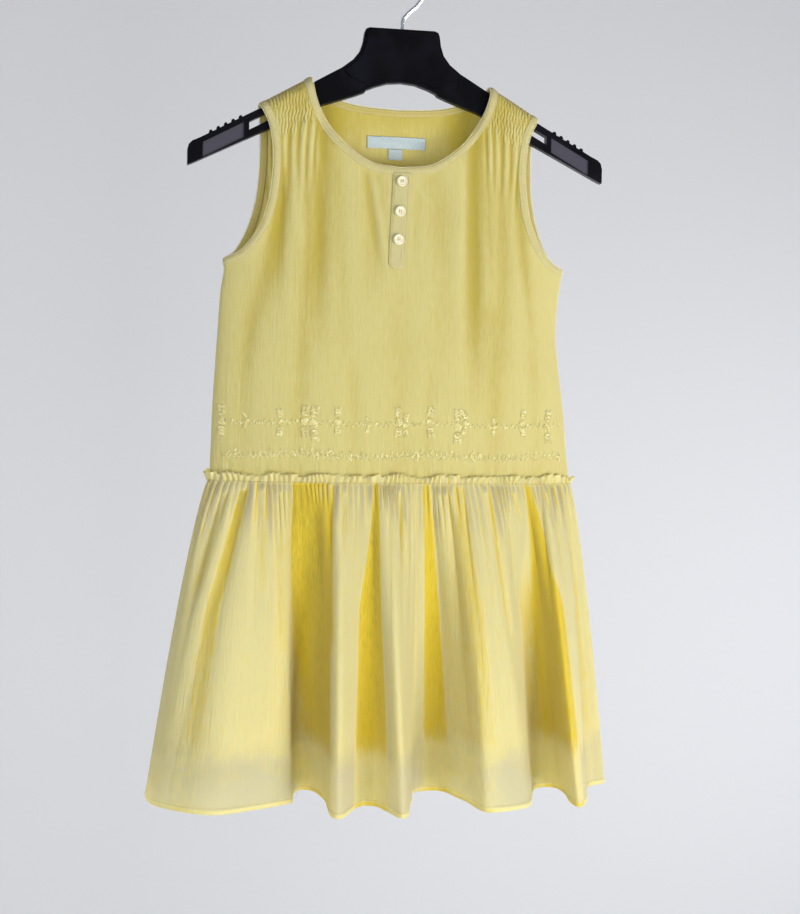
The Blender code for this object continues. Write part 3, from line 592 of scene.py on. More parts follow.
def edge_curve(rows, dist, kind, square=True):
    """A free edge, or the line `dist` inside it, as a fine curve from its inner end."""
    curve = trace([(row["x"], row["z"]) for row in rows])[0]
    step = unit(np.gradient(curve, axis=0))
    side = np.stack([-step[:, 1], step[:, 0]], -1)
    slope = np.array([SHOULDER_TIP[0] - NECK_POINT[0], SHOULDER_TIP[1] - NECK_POINT[1]])
    slope = slope / np.linalg.norm(slope)
    down = np.array([0.0, -1.0])
    first, last = (down, slope) if kind == "neck" else (-slope, down)
    flip = np.sign(side @ (first + last))
    side *= np.where(flip == 0, 1.0, flip)[:, None]
    if square:
        blend = np.linspace(0, 1, len(curve))[:, None]
        side = np.where(blend < 0.06, first + (side - first) * smooth(blend / 0.06), side)
        side = np.where(blend > 0.94, last + (side - last) * smooth((1 - blend) / 0.06), side)
        side = unit(side)
    moved = curve + side * dist
    return moved, lengths(moved)


# %% [markdown]
# ## The bodice as a surface
# Everything sewn to the bodice asks it for a place: a point across and a height give the
# depth.  It is an oval section that closes at the side seams and rolls over the hanger's
# arm at the shoulder.  `relief` adds what the needle and the folds do to it.
# %% Bodice surface


def seam_height(x):
    slope = (SHOULDER_TIP[1] - NECK_POINT[1]) / (SHOULDER_TIP[0] - NECK_POINT[0])
    return NECK_POINT[1] + (np.abs(x) - NECK_POINT[0]) * slope


def reach(side, z):
    return np.where(side < 0, column(BODICE, "left", z), column(BODICE, "right", z))


def troughs(table, x, z):
    total = np.zeros_like(x, float)
    for f in table:
        t = (f["z0"] - z) / (f["z0"] - f["z1"])
        line = f["top"] + (f["foot"] - f["top"]) * t
        fade = smooth((t + 0.2) / 0.3) * (1 - smooth((t - 0.55) / 0.7))
        total += f["depth"] * fade * np.exp(-((x - line) / f["half"]) ** 2)
    return total


def shirring(x, z):
    """Rows of gathering thread across a shoulder, and the folds it lets go below."""
    drop = seam_height(x) - z
    ax = np.abs(x)
    across = smooth((ax - 80.0) / 8.0)
    body = smooth((drop - 0.5) / 2.5) * (1 - smooth((drop - 38.0) / 18.0)) * across
    row = drop / SHIRR_ROW + 0.35 * np.sin(ax / 6.0)
    knee = np.sin(math.pi * (row % 1.0))
    sway = 1.9 * knee * np.sin(2.3 * np.floor(row) + 0.23 * ax)
    cells = np.cos(2 * math.pi * ax / SHIRR_PITCH + sway + 1.2 * np.sin(drop / 8.0 + ax / 9.0))
    cells = np.sign(cells) * np.abs(cells) ** 0.8
    release = smooth((drop - 32.0) / 14.0) * (1 - smooth((drop - 58.0) / 64.0)) * across
    fan = ax + (drop - 40.0) * 0.10 * (ax - 108.0) / 30.0
    folds = np.cos(2 * math.pi * fan / 8.2 + 1.5 * np.sin(fan / 11.0) + 0.4 * np.sin(drop / 14))
    return 0.85 * body * cells * (0.6 + 0.4 * knee) + 1.0 * release * folds


def bodice_y(x, z, back=False):
    xn = np.minimum(1.0, np.abs(x) / reach(x, z))
    full = (1 - xn ** 2.6) ** 0.62
    roll = np.clip((seam_height(x) - z) / SHOULDER_ROLL, 0.0, 1.0)
    full = full * np.sqrt(1 - (1 - roll) ** 2)
    face, folds, way = ("back", FOLDS_BACK, 1) if back else ("front", FOLDS_FRONT, -1)
    return way * np.maximum(full * (column(BODICE, face, z) - troughs(folds, x, z)), LEAST_DEPTH)


def bodice_spot(x, z, back=False):
    """Places on the cloth, with the direction that points out of the dress."""
    x, z = np.asarray(x, float), np.asarray(z, float)
    e = 0.4
    here = np.stack([x, bodice_y(x, z, back), z], -1)
    dx = (bodice_y(x + e, z, back) - bodice_y(x - e, z, back)) / (2 * e)
    dz = (bodice_y(x, z + e, back) - bodice_y(x, z - e, back)) / (2 * e)
    flip = 1.0 if back else -1.0
    out = np.stack([-dx * flip, np.full_like(x, flip), -dz * flip], -1)
    return here, unit(out)


def relief(x, z, back=False):
    """How far the finished cloth stands proud of its plain surface."""
    table = CREASES_BACK if back else CREASES_FRONT
    tuck = 0.5 * np.exp(-((z - WAIST_Z) / 14.0) ** 2) * np.cos(x * 0.55 + np.sin(x * 0.11))
    return shirring(x, z) - troughs(table, x, z) + tuck


# %% [markdown]
# ## From points to cloth
# A sheet of cloth starts as Blender's own grid.  Its points are moved to their places on
# the dress, its edges are welded where it is a tube, and Solidify gives it a wall.  The
# grid's UV map is replaced by the cloth's own length and width, so that the grain of the
# weave runs true.
# %% Sheet maker


def grid_sheet(name, places, uv, painted_shading):
    """Blender's grid, moved to its places, with its own UV map and painted shading."""
    rows, cols = places.shape[:2]
    bpy.ops.mesh.primitive_grid_add(x_subdivisions=cols - 1, y_subdivisions=rows - 1, size=1)
    obj = bpy.context.object
    obj.name = obj.data.name = name
    mesh = obj.data
    mesh.vertices.foreach_set("co", (places * MM).astype(np.float32).ravel())
    loops = np.empty(len(mesh.loops), np.int32)
    mesh.loops.foreach_get("vertex_index", loops)
    mesh.uv_layers[0].data.foreach_set("uv", (uv.reshape(-1, 2)[loops] * MM).ravel())
    depth = mesh.attributes.new("painted_shading", "FLOAT", "POINT")
    depth.data.foreach_set("value", painted_shading.astype(np.float32).ravel())
    mesh.update()
    return obj


def weld(outward=False):
    """Joins the doubled points of the piece in hand, and can turn its faces outwards."""
    bpy.ops.object.mode_set(mode="EDIT")
    bpy.ops.mesh.select_all(action="SELECT")
    bpy.ops.mesh.remove_doubles(threshold=1e-6)
    if outward:
        bpy.ops.mesh.normals_make_consistent(inside=False)
    bpy.ops.object.mode_set(mode="OBJECT")


def sew_on(obj, material, slot, *replaced):
    """Gives a piece its finish and its place in the frame."""
    obj.data.materials.append(material)
    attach(obj, "root")
    if replaced:
        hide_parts(*replaced)
    obj.select_set(False)


def lay_cloth(name, node, places, material, thick, slot, uv=None, painted_shading=None, tube=False,
              offset=1.0):
    """A sheet of cloth with a wall, in place of the frame's plain solid."""
    if uv is None:
        middle = places[:, places.shape[1] // 2]
        widest = places[int(np.argmax(np.linalg.norm(np.diff(places, axis=1), axis=2).sum(1)))]
        uv = np.stack(np.meshgrid(lengths(widest), lengths(middle)), -1)
    painted_shading = np.zeros(places.shape[:2]) if painted_shading is None else painted_shading
    obj = grid_sheet(name, places, uv, painted_shading)
    if tube:
        weld()
    wall = obj.modifiers.new("wall", "SOLIDIFY")
    wall.thickness = thick * MM
    wall.offset = offset
    bpy.ops.object.modifier_apply(modifier="wall")
    bpy.ops.object.shade_smooth()
    sew_on(obj, material, slot, node)
    print(name, len(obj.data.polygons), "faces")
    return obj


# %% [markdown]
# ## Front and back of the bodice
# Each panel is one grid between the waist, the side seams, the armholes, the shoulder
# seams and the neck.  The columns fan out like the cut of the cloth: the middle three
# quarters end on the neck, the rest on the shoulder.  They stand closer together near
# the armhole, where the gathering is.
# %% Bodice panels


def panel_grid(neck_rows, arm_rows, back, half_cols, levels):
    inside = BIND_W - 2.5
    neck, neck_run = edge_curve(neck_rows, inside, "neck", False)
    arm = edge_curve(arm_rows, inside, "arm", False)[0]
    share = np.linspace(0, 1, half_cols + 1)
    share = share + 0.6 * share * (1 - share)
    on_neck = np.clip(share / NECK_SHARE, 0, 1)
    top = along(neck, neck_run, 1 - (1 - on_neck) ** EDGE_CROWD)
    past = np.clip((share - NECK_SHARE) / (1 - NECK_SHARE), 0, 1)[:, None]
    top = np.where(past > 0, neck[-1] + (arm[0] - neck[-1]) * past, top)
    tip, foot = arm[0], arm[-1][1]
    z_edge = levels * (tip[1] - WAIST_Z) + WAIST_Z
    arm_x = np.interp(z_edge, arm[::-1, 1], arm[::-1, 0])
    halves = []
    for side in (-1, 1):
        wide = reach(side, WAIST_Z)
        edge = np.where(z_edge > foot, arm_x, reach(side, z_edge))
        bend = (edge - (wide + (tip[0] - wide) * levels))[:, None]
        start = wide * (0.6 * share + 0.4 * np.sin(share * math.pi / 2))
        x = start + (top[:, 0] - start) * levels[:, None] + bend * share ** 6
        z = WAIST_Z + (top[:, 1] - WAIST_Z) * levels[:, None]
        halves.append((side * x, np.minimum(z, seam_height(x) - 0.01)))
    x = np.hstack([halves[0][0][:, :0:-1], halves[1][0]])
    z = np.hstack([halves[0][1][:, :0:-1], halves[1][1]])
    if back:
        x, z = x[:, ::-1], z[:, ::-1]
    return x, z


def bodice_panel(name, neck_rows, arm_rows, back, half_cols, levels):
    x, z = panel_grid(neck_rows, arm_rows, back, half_cols, levels)
    here, out = bodice_spot(x, z, back)
    edge_x, edge_z = np.abs(x), z
    near = np.ones_like(x)
    for rows, kind in ((neck_rows, "neck"), (arm_rows, "arm")):
        line = edge_curve(rows, 0.0, kind)[0][::3]
        gap = np.full(x.shape, 1e9)
        for p in line:
            gap = np.minimum(gap, np.hypot(edge_x - p[0], edge_z - p[1]))
        near *= smooth((gap - BIND_W + 0.8) / 5.0)
    proud = relief(x, z, back) * near
    folds, creases = (FOLDS_BACK, CREASES_BACK) if back else (FOLDS_FRONT, CREASES_FRONT)
    # Painted shade on the bodice: darker in its folds and creases and between the shirred ridges,
    # paler on the ridges, darker in a band just above the waist seam behind the frill, and darker
    # towards the shoulders, which tilt away from the light.
    painted_shading = np.clip(0.15 * troughs(folds, x, z) + 0.22 * troughs(creases, x, z)
                     - 0.45 * shirring(x, z), -0.5, 0.9)
    waist_shade = np.exp(-(z - WAIST_Z) / 9.0)
    painted_shading = painted_shading + 0.35 * waist_shade + 0.12 + 0.6 * smooth((z + 190.0) / 60.0)
    places = here + out * (proud + PROUD)[..., None]
    return lay_cloth(name + "_cloth", name, places, bodice_voile, 0.7, "voile_yellow",
                     np.stack([x, z], -1), painted_shading)


levels = np.concatenate([np.linspace(0.0, 0.56, 62)[:-1], np.linspace(0.56, 1.0, 98)])
bodice_front = bodice_panel("bodice_front", NECK_FRONT, ARM_FRONT, False, 150, levels)
bodice_back = bodice_panel("bodice_back", NECK_BACK, ARM_BACK, True, 90, levels[::2])


# %% [markdown]
# ## The skirt
# The skirt is one wide piece gathered into the waist.  At the seam it follows the waist's
# oval, at the hem it follows the drawn folds, and every thread of the warp runs from its
# share of one to the same share of the other.  Under the seam the gathering thread makes
# ridges a finger-nail apart, with round tops and pinched valleys.  They die out at uneven
# lengths into broader folds.  The last few millimetres are a narrow rolled hem.
# %% Skirt surface


def waist_curve(back, grow=1.0):
    a = np.linspace(0, math.pi, 241)
    s = np.cos(a)
    left, right = reach(-1, WAIST_Z) + grow, reach(1, WAIST_Z) + grow
    deep = column(BODICE, "back" if back else "front", WAIST_Z) + grow
    x = -s * np.where(s > 0, left, right)
    y = -deep * np.maximum(1 - np.abs(s) ** 2.6, 0.0) ** 0.62
    curve = np.stack([x, y], -1)
    if back:
        curve = curve[::-1] * [1, -1]
    return curve, lengths(curve)


def hem_curve(back):
    return trace([(row["x"], row["y"]) for row in (HEM_BACK if back else HEM_FRONT)])


def skirt_base(back, share, z):
    waist, hem = along(*waist_curve(back), share), along(*hem_curve(back), share)
    down = np.maximum((WAIST_Z - z) / (WAIST_Z - HEM_Z), 0.0)
    x = waist[:, 0] + (hem[:, 0] - waist[:, 0]) * (down ** FLARE)[:, None]
    y = waist[:, 1] + (hem[:, 1] - waist[:, 1]) * (down ** SWELL)[:, None]
    return np.stack([x, y, np.broadcast_to(z[:, None], x.shape)], -1)


def grid_out(places):
    """Directions that point out of a sheet, from its own neighbours."""
    du = np.gradient(places, axis=1)
    dv = np.gradient(places, axis=0)
    out = np.cross(du, dv)
    return out / np.maximum(np.linalg.norm(out, axis=-1), 1e-9)[..., None]


def skirt_sheet(back, share, z):
    """The skirt's plain surface, and the directions out of it, level at the waist."""
    base = skirt_base(back, share, z)
    out = grid_out(base)
    out[-1, :, 2] = 0
    return base, out


def gather_turns(run, seed):
    """Counts the gathered ridges along the waist: a whole number at each valley."""
    return run / GATHER_PITCH + 0.6 * np.sin(run / 17 + seed) + 0.3 * np.sin(run / 6.1 + 2 * seed)


def hollows(table, share, z):
    """Painted shade and sinking of the named hollows over a panel."""
    tone = np.zeros((len(z), len(share)))
    sink = np.zeros_like(tone)
    weight = np.zeros_like(tone)
    down = (-WAIST_Z, -THIRD_Z, -HEM_Z)
    for row in table:
        edges = [np.interp(-z, down, (row["top"][k], row["mid"][k], row["foot"][k]))[:, None]
                 for k in (0, 1)]
        strong = np.interp(-z, down, row["tone"])[:, None]
        start = smooth((row["z0"] - z) / 8.0) * (1 - smooth((row["z1"] + 50 - z) / 50.0))
        soft = row["soft"] * (1 + 1.6 * smooth((-600 - z) / 200.0))[:, None]
        inside = (smooth((share - edges[0]) / soft + 0.5)
                  * (1 - smooth((share - edges[1]) / soft - 0.5)))
        inside = inside * start[:, None]
        middle = (edges[0] + edges[1]) / 2
        wide = (edges[1] - edges[0]) / 2 + soft * 0.8
        bowl = np.exp(-((share - middle) / wide) ** 2) * start[:, None]
        tone = tone * (1 - inside) + strong * inside
        weight = np.maximum(weight, inside)
        sink += row["depth"] * bowl
    return tone, sink, weight


def gathers(run, z, seed):
    """Height of the gathered ridges, and how deep in a valley each point is, which is painted as
    shade on the skirt.
    """
    drop = (WAIST_Z - z)[:, None]
    lean = run + 0.03 * drop * np.sin(run / 23 + seed)
    ridge = np.abs(np.sin(math.pi * gather_turns(lean, seed))) ** 0.8
    strength = 0.7 + 0.3 * np.sin(run / 9.3 + 3 * seed)
    length = 30 + 20 * np.sin(run / 31 + seed) + 18 * np.sin(run / 10.7 + 1.7 * seed)
    fade = smooth(drop / 4.0) * (1 - smooth((drop - 6.0) / (length + 26.0)))
    fine = (ridge - 0.55) * 3.5 * strength * fade
    turn = lean / 14.5 + 0.5 * np.sin(lean / 37 + 2 * seed) + 0.2 * np.sin(lean / 11 + seed)
    broad_ridge = np.abs(np.sin(math.pi * turn)) ** 0.9
    reachdown = 105 + 70 * np.sin(run / 33 + seed) + 40 * np.sin(run / 13 + 2.2 * seed)
    broad = smooth((drop - 8.0) / 30.0) * (1 - smooth((drop - 30.0) / (reachdown + 60)))
    medium = (broad_ridge - 0.6) * 3.6 * broad
    valley = (0.6 - ridge) * 2.4 * fade * strength + (0.6 - broad_ridge) * 0.35 * broad
    return fine + medium, valley


def blur(values, width):
    """Average along each row, over a number of columns."""
    k = np.exp(-np.linspace(-2, 2, 2 * width + 1) ** 2)
    k /= k.sum()
    padded = np.pad(values, ((0, 0), (width, width)), mode="edge")
    return np.stack([np.convolve(row, k, mode="valid") for row in padded])


def skirt_heights(foot, coarse, fine):
    hem = foot + np.array([0.0, 0.7, 1.6, 3.0, 4.4, 5.2, 5.8, 6.6, 8.0])
    body = np.linspace(foot + 11.0, -566.0, coarse)
    top = np.linspace(-564.0, WAIST_Z - 0.4, fine)
    return np.concatenate([hem, body, top])


def skirt_panel(name, back, cols, coarse, fine):
    share = np.linspace(0, 1, cols)
    z = skirt_heights(HEM_Z, coarse, fine)
    base, out = skirt_sheet(back, share, z)
    waist_run = waist_curve(back)[1][-1] * share
    proud, valley = gathers(waist_run, z, GATHER_SEED[back])
    ends = smooth(np.minimum(share, 1 - share) / 0.012)
    up = (z - HEM_Z)[:, None]
    roll = 0.55 * np.exp(-((up - 2.6) / 2.2) ** 4) - 0.25 * np.exp(-((up - 5.8) / 0.7) ** 2)
    sway = 0.5 * np.sin(waist_run / 3.1 + 1.3 * np.sin(waist_run / 17)) * np.exp(-up / 30.0)
    tone, sink, weight = hollows(HOLLOWS_BACK if back else HOLLOWS_FRONT, share, z)
    proud = np.maximum(proud - sink + sway, LINING_ROOM - LINING_IN)
    places = base + out * (proud * ends + roll + PROUD)[..., None]
    # Painted shade on the skirt: the listed hollows and the valleys of the gathers are painted
    # darker and more saturated, a single layer below the lining is painted paler for the light
    # shining through it, and the colour is deeper along the rolled hem and its stitch line.
    single = smooth((LINING_Z + 22 - z) / 36.0)[:, None]
    painted_shading = tone * (1 - 0.2 * single) + valley * (1 - 0.55 * weight) + 0.1 - 0.55 * single
    painted_shading = painted_shading + 0.6 * (1 - smooth((up - 3.2) / 0.8)) + 0.2 * np.exp(-((up - 5.8) / 0.6) ** 2)
    hem_length = hem_curve(back)[1][-1]
    uv = np.stack(np.meshgrid(share * hem_length, z), -1)
    print(name, "hem length", round(hem_length), "mm, waist", round(waist_run[-1]), "mm")
    return lay_cloth(name + "_cloth", name, places, voile, 0.6, "voile_yellow", uv, painted_shading)


skirt_front = skirt_panel("skirt_front", False, 430, 66, 34)
skirt_back = skirt_panel("skirt_back", True, 300, 50, 22)

# %% [markdown]
# ## The lining
# A plain slip hangs inside, five centimetres shorter than the skirt.  It is made of the
# same two halves, joined as a tube and set in by the width of a seam allowance.
# %% Lining


def set_in(back, cols, z):
    base, out = skirt_sheet(back, np.linspace(0, 1, cols), z)
    up = (z - LINING_Z)[:, None]
    roll = 0.35 * np.exp(-((up - 5.0) / 5.0) ** 6)
    return base - out * (LINING_IN - roll)[..., None]


lining_z = np.concatenate([LINING_Z + np.array([0.0, 0.8, 3.0, 8.0, 9.8, 10.6, 12.0]),
                           np.linspace(LINING_Z + 18, WAIST_Z - 6.3, 34)])
halves = [set_in(False, 200, lining_z), set_in(True, 130, lining_z)]
for here, there in ((-1, 0), (0, -1)):
    seam = (halves[0][:, here] + halves[1][:, there]) / 2
    halves[0][:, here] = halves[1][:, there] = seam
ring = np.concatenate([halves[0], halves[1][:, 1:]], axis=1)
sunk = np.concatenate([blur(halves[0][..., 1], 26) - halves[0][..., 1],
                       halves[1][:, 1:, 1] - blur(halves[1][..., 1], 18)[:, 1:]], axis=1)
# Painted shade: the lining is darker where it sinks into its folds, and paler where it stands out.
lining_shading = 0.3 + np.clip(-sunk / 60.0, -0.3, 0.6)
skirt_lining = lay_cloth("skirt_lining_cloth", "skirt_lining", ring, lining_cloth, 0.5,
                         "lining_yellow", None, lining_shading, tube=True)

# %% [markdown]
# ## The frill over the waist seam
# Above the gathering thread the skirt's top edge stands up as a tiny frill.  It is cut
# narrow, so it curls this way and that, never evenly.  At the side seams it is caught in
# the stitching and sticks out as a small roll.
# %% Frill


def frill_ring(cols, rows):
    share = np.linspace(0, 1, cols, endpoint=False)
    halves = [waist_curve(back, 0.0) for back in (False, True)]
    line = np.concatenate([along(*half, share) for half in halves])
    turns = np.concatenate([gather_turns(half[1][-1] * share, GATHER_SEED[back])
                            for half, back in zip(halves, (False, True))])
    line = np.concatenate([line, line[:1]])
    turns = np.concatenate([turns, turns[:1]])
    side = np.gradient(line, axis=0)
    side[0] = side[-1] = line[1] - line[-2]
    side = unit(side)
    out = np.stack([side[:, 1], -side[:, 0]], -1)
    run = lengths(line)
    whole = run[-1]
    ridge = np.abs(np.sin(math.pi * turns)) ** 0.8
    lean = np.sin(2 * math.pi * turns)
    bend = np.sin(run / 4.3 + 2.0 * np.sin(run / 13.0))
    big = 0.5 + 0.5 * np.sin(run / 21.0 + 2.0) * np.sin(run / 8.3)
    to_side = np.minimum(np.abs(run - whole / 2), np.minimum(run, whole - run))
    knot = np.exp(-(to_side / 4.0) ** 2)
    layers = []
    for t in np.linspace(0, 1, rows):
        stand = 2.4 + 1.5 * t * t + knot * 3.0 * t ** 0.5
        wave = (ridge - 0.5) * (1.6 + 0.9 * t) + bend * (1.3 + 1.3 * big) * t ** 1.5
        slide = lean * 1.6 * t * (0.4 + big) + 1.4 * t * t * np.sin(run / 7.1 + 1.0)
        place = line + out * (stand + wave * (1 - knot))[:, None] + side * slide[:, None]
        curl = 1.1 * np.sin(run / 9.0) + 1.2 * lean + 1.0 * bend
        height = WAIST_Z - 0.8 + t * (8.2 + curl)
        layers.append(np.column_stack([place, height]))
    # Painted shade: darker between the frill's curls and towards its foot.
    painted_shading = np.stack([0.05 + (0.6 - ridge) * (0.9 - 0.5 * t) + 0.25 * (1 - t)
                       for t in np.linspace(0, 1, rows)])
    return np.stack(layers), painted_shading


frill_places, frill_shading = frill_ring(820, 7)
waist_frill = lay_cloth("waist_frill_cloth", "waist_frill", frill_places, voile, 0.5,
                        "voile_yellow", None, frill_shading, tube=True, offset=0.0)

# %% [markdown]
# ## Bindings
# The neck and armholes are finished with a folded strip of the same cloth.  Its section
# is a flat loop: up the outside, over the free edge and down the inside, with two stitched
# grooves.  That closed loop is carried round the edge as a ring, like a soft tyre.
# %% Bindings
STRIP_W = 17
PROFILE = rows_of("inward height",
    (6.5, -0.4), (6.8, 0.5), (6.5, 1.5), (5.7, 1.75), (5.0, 1.3), (4.3, 1.8), (3.0, 1.95),
    (1.9, 1.85), (1.3, 1.35), (0.6, 1.6), (-0.2, 1.1), (-0.4, 0.4), (0.0, -0.3), (1.3, -0.45),
    (3.2, -0.6), (5.2, -0.5))


def half_edge(rows, kind, side, back, dist, share):
    """Half an edge on one side of the dress, from the centre or the shoulder outwards."""
    flat = along(*edge_curve(rows, dist, kind), share)
    x, z = flat[:, 0], flat[:, 1]
    if kind == "arm":
        x = x + (reach(side, z[-1]) - x[-1]) * share ** 6
    spots, outs = bodice_spot(side * x, z, back)
    ends = [(-1, (0.49, 0.0, 0.87))] if kind == "neck" else [(0, (0.49, 0.0, 0.87)),
                                                             (-1, (1.0, 0.0, 0.0))]
    for k, way in ends:
        spots[k, 1] = 0.0
        outs[k] = way
        outs[k, 0] *= side
    return spots, outs


def edge_ring(front_rows, back_rows, kind, side, dist, count):
    """Places and directions all round a free edge, `dist` inside it."""
    share = np.linspace(0, 1, count + 1)
    if kind == "arm":
        front = half_edge(front_rows, kind, side, False, dist, share)
        back = half_edge(back_rows, kind, side, True, dist, share)
        return tuple(np.concatenate([f, b[-2:0:-1]]) for f, b in zip(front, back))
    share = 1 - (1 - share) ** 1.15
    parts = [half_edge(back_rows if back else front_rows, kind, way, back, dist, share)
             for back, way in ((False, -1), (False, 1), (True, 1), (True, -1))]
    return tuple(np.concatenate([fl[::-1], fr[1:], br[-2::-1], bl[1:-1]])
                 for fl, fr, br, bl in zip(*parts))


def binding(name, front_rows, back_rows, kind, side, count, node):
    layers = []
    for step in PROFILE:
        spots, outs = edge_ring(front_rows, back_rows, kind, side, step["inward"], count)
        pucker = 0.12 * np.sin(np.arange(len(spots)) * 2.1)
        layers.append(spots + outs * (step["height"] + pucker)[:, None])
    places = np.stack(layers)
    places = np.concatenate([places, places[:, :1]], axis=1)
    places = np.concatenate([places, places[:1]], axis=0)
    heights = np.array([step["height"] for step in PROFILE] + [PROFILE[0]["height"]])
    # Painted shade: the binding is darker where its section lies low, in its two stitched grooves
    # and on its inner side.
    painted_shading = np.clip(0.35 + (1.7 - heights) * 0.25, 0.1, 0.7)
    painted_shading = np.broadcast_to(painted_shading[:, None], places.shape[:2])
    run = lengths(places[6])
    uv = np.stack(np.meshgrid(run, np.linspace(0, STRIP_W, len(places))), -1)
    obj = grid_sheet(name, places, uv, painted_shading)
    weld(outward=True)
    bpy.ops.object.shade_smooth()
    sew_on(obj, binding_cloth, "binding_yellow", node)
    print(name, len(obj.data.polygons), "faces, round", round(run[-1]), "mm")
    return obj


neck_binding = binding("neck_binding_strip", NECK_FRONT, NECK_BACK, "neck", 1, 170,
                       "neck_binding")
arm_bindings = [binding("armhole_strip_" + word, ARM_FRONT, ARM_BACK, "arm", side, 110,
                        "armhole_binding_" + word)
                for word, side in (("left", -1), ("right", 1))]

# %% [markdown]
# ## Stitches
# One stitch is a small spindle of thread.  It is modelled once from a sphere, then laid
# again and again along a line, turned to lie on the cloth, and joined to one mesh.  The
# same maker lays the scalloped loops of the edging and the embroidery.
# %% Stitch maker


def one_stitch(kind):
    """The mesh of a single stitch or edging loop, a millimetre long, along +X.  Blender may
    list its faces in another order on another run, so they are sorted."""
    if kind == "stitch":
        bpy.ops.mesh.primitive_uv_sphere_add(segments=6, ring_count=4, radius=0.5)
        obj = bpy.context.object
        bpy.ops.object.mode_set(mode="EDIT")
        bpy.ops.transform.rotate(value=math.pi / 2, orient_axis="Y", center_override=(0, 0, 0))
        bpy.ops.object.mode_set(mode="OBJECT")
    else:
        bpy.ops.mesh.primitive_torus_add(major_segments=8, minor_segments=4,
                                         major_radius=0.42, minor_radius=0.16)
        obj = bpy.context.object
    points = np.array([v.co[:] for v in obj.data.vertices])
    faces = sorted(tuple(p.vertices) for p in obj.data.polygons)
    bpy.data.objects.remove(obj, do_unlink=True)
    return points, faces


STITCHES = {kind: one_stitch(kind) for kind in ("stitch", "loop")}


def lay_stitches(name, kind, walks, sizes, material, slot):
    """Copies of one stitch, each scaled by (length, width, height) in mm.  Each walk gives
    places, the way each stitch runs, and the way out of the cloth."""
    points, faces = STITCHES[kind]
    spots, ahead_dirs, outs = (np.concatenate(part) for part in zip(*walks))
    x = unit(ahead_dirs)
    y = unit(np.cross(outs, x))
    z = np.cross(x, y)
    sizes = np.broadcast_to(np.asarray(sizes, float), (len(spots), 3))
    local = points[None] * sizes[:, None]
    placed = (spots[:, None] + local[..., :1] * x[:, None] + local[..., 1:2] * y[:, None]
              + local[..., 2:] * z[:, None])
    count = len(points)
    everywhere = [tuple(i + k * count for i in f) for k in range(len(spots)) for f in faces]
    mesh = bpy.data.meshes.new(name)
    mesh.from_pydata((placed.reshape(-1, 3) * MM).tolist(), [], everywhere)
    mesh.update()
    obj = bpy.data.objects.new(name, mesh)
    scene.collection.objects.link(obj)
    mesh.shade_smooth()
    sew_on(obj, material, slot)
    print(name, len(spots), "stitches")


def walk(spots, outs, pitch, lift, closed=True):
    """Evenly spaced places along a line on the cloth, with directions."""
    if closed:
        spots = np.concatenate([spots, spots[:1]])
        outs = np.concatenate([outs, outs[:1]])
    run = lengths(spots)
    want = np.arange(pitch / 2, run[-1], pitch)
    place, out, beyond = (np.stack([np.interp(at, run, values[:, k]) for k in range(3)], -1)
                          for at, values in ((want, spots), (want, outs), (want + 0.5, spots)))
    out = unit(out)
    return place + out * lift, beyond - place, out


# %% [markdown]
# ## Stitching and edging of the bindings
# Two rows of machine stitches hold each binding, in the two grooves.  Its free edge is
# finished with tiny crocheted loops, which give the saw-toothed line of the neck.
# %% Edge stitches
EDGES = [(NECK_FRONT, NECK_BACK, "neck", 1, "neck"), (ARM_FRONT, ARM_BACK, "arm", -1, "left"),
         (ARM_FRONT, ARM_BACK, "arm", 1, "right")]
for front_rows, back_rows, kind, side, word in EDGES:
    rows = []
    for inward in (5.0, 1.3):
        spots, outs = edge_ring(front_rows, back_rows, kind, side, inward, 150)
        for lift in (1.42, -0.55):
            rows.append(walk(spots, outs, 2.6, lift))
    lay_stitches("edge_stitches_" + word, "stitch", rows, (1.9, 0.5, 0.4), thread,
                 "binding_yellow")
    spots, outs = edge_ring(front_rows, back_rows, kind, side, -0.6, 150)
    lay_stitches("edge_loops_" + word, "loop", [walk(spots, outs, 1.75, 0.5)],
                 (1.7, 1.9, 1.3), thread, "binding_yellow")

# %% [markdown]
# ## Placket
# The neck opens down the front under a short strip with a rounded foot, which leans a
# little.  It is a second layer of cloth laid on the bodice and stitched all round.
# %% Placket
PLACKET_W, PLACKET_TOP, PLACKET_END, PLACKET_LEAN = 17.0, -210.0, -302.0, -4.5


def placket_middle(z):
    return PLACKET_LEAN * (PLACKET_TOP - z) / (PLACKET_TOP - PLACKET_END)


def placket_half(z):
    rise = z - PLACKET_END
    half = PLACKET_W / 2
    round_foot = 1.5 + (half - 1.5) * np.sqrt(np.clip(1 - (1 - rise / half) ** 2, 0, 1))
    return np.where(rise < half, round_foot, half)


placket_z = PLACKET_END + (PLACKET_TOP + 4 - PLACKET_END) * np.linspace(0, 1, 90) ** 1.3
across = np.linspace(-1, 1, 27)
px = placket_middle(placket_z)[:, None] + placket_half(placket_z)[:, None] * across
pz = np.broadcast_to(placket_z[:, None], px.shape)
here, out = bodice_spot(px, pz)
rim = 1 - np.abs(across) ** 8
groove = 0.28 * np.exp(-((np.abs(across) - 0.8) / 0.06) ** 2)
ripple = 0.18 * np.sin(pz / 2.7 + 3.0 * across) * np.exp(-((np.abs(across) - 0.8) / 0.25) ** 2)
rise = 1.35 + 0.5 * rim - groove + ripple
# Painted shade in the stitched grooves along the placket's sides.
placket_shading = np.broadcast_to(0.22 + 1.0 * groove, px.shape)
placket = lay_cloth("placket_strip", "placket", here + out * rise[..., None], binding_cloth,
                    0.6, "binding_yellow", np.stack([px, pz], -1), placket_shading)

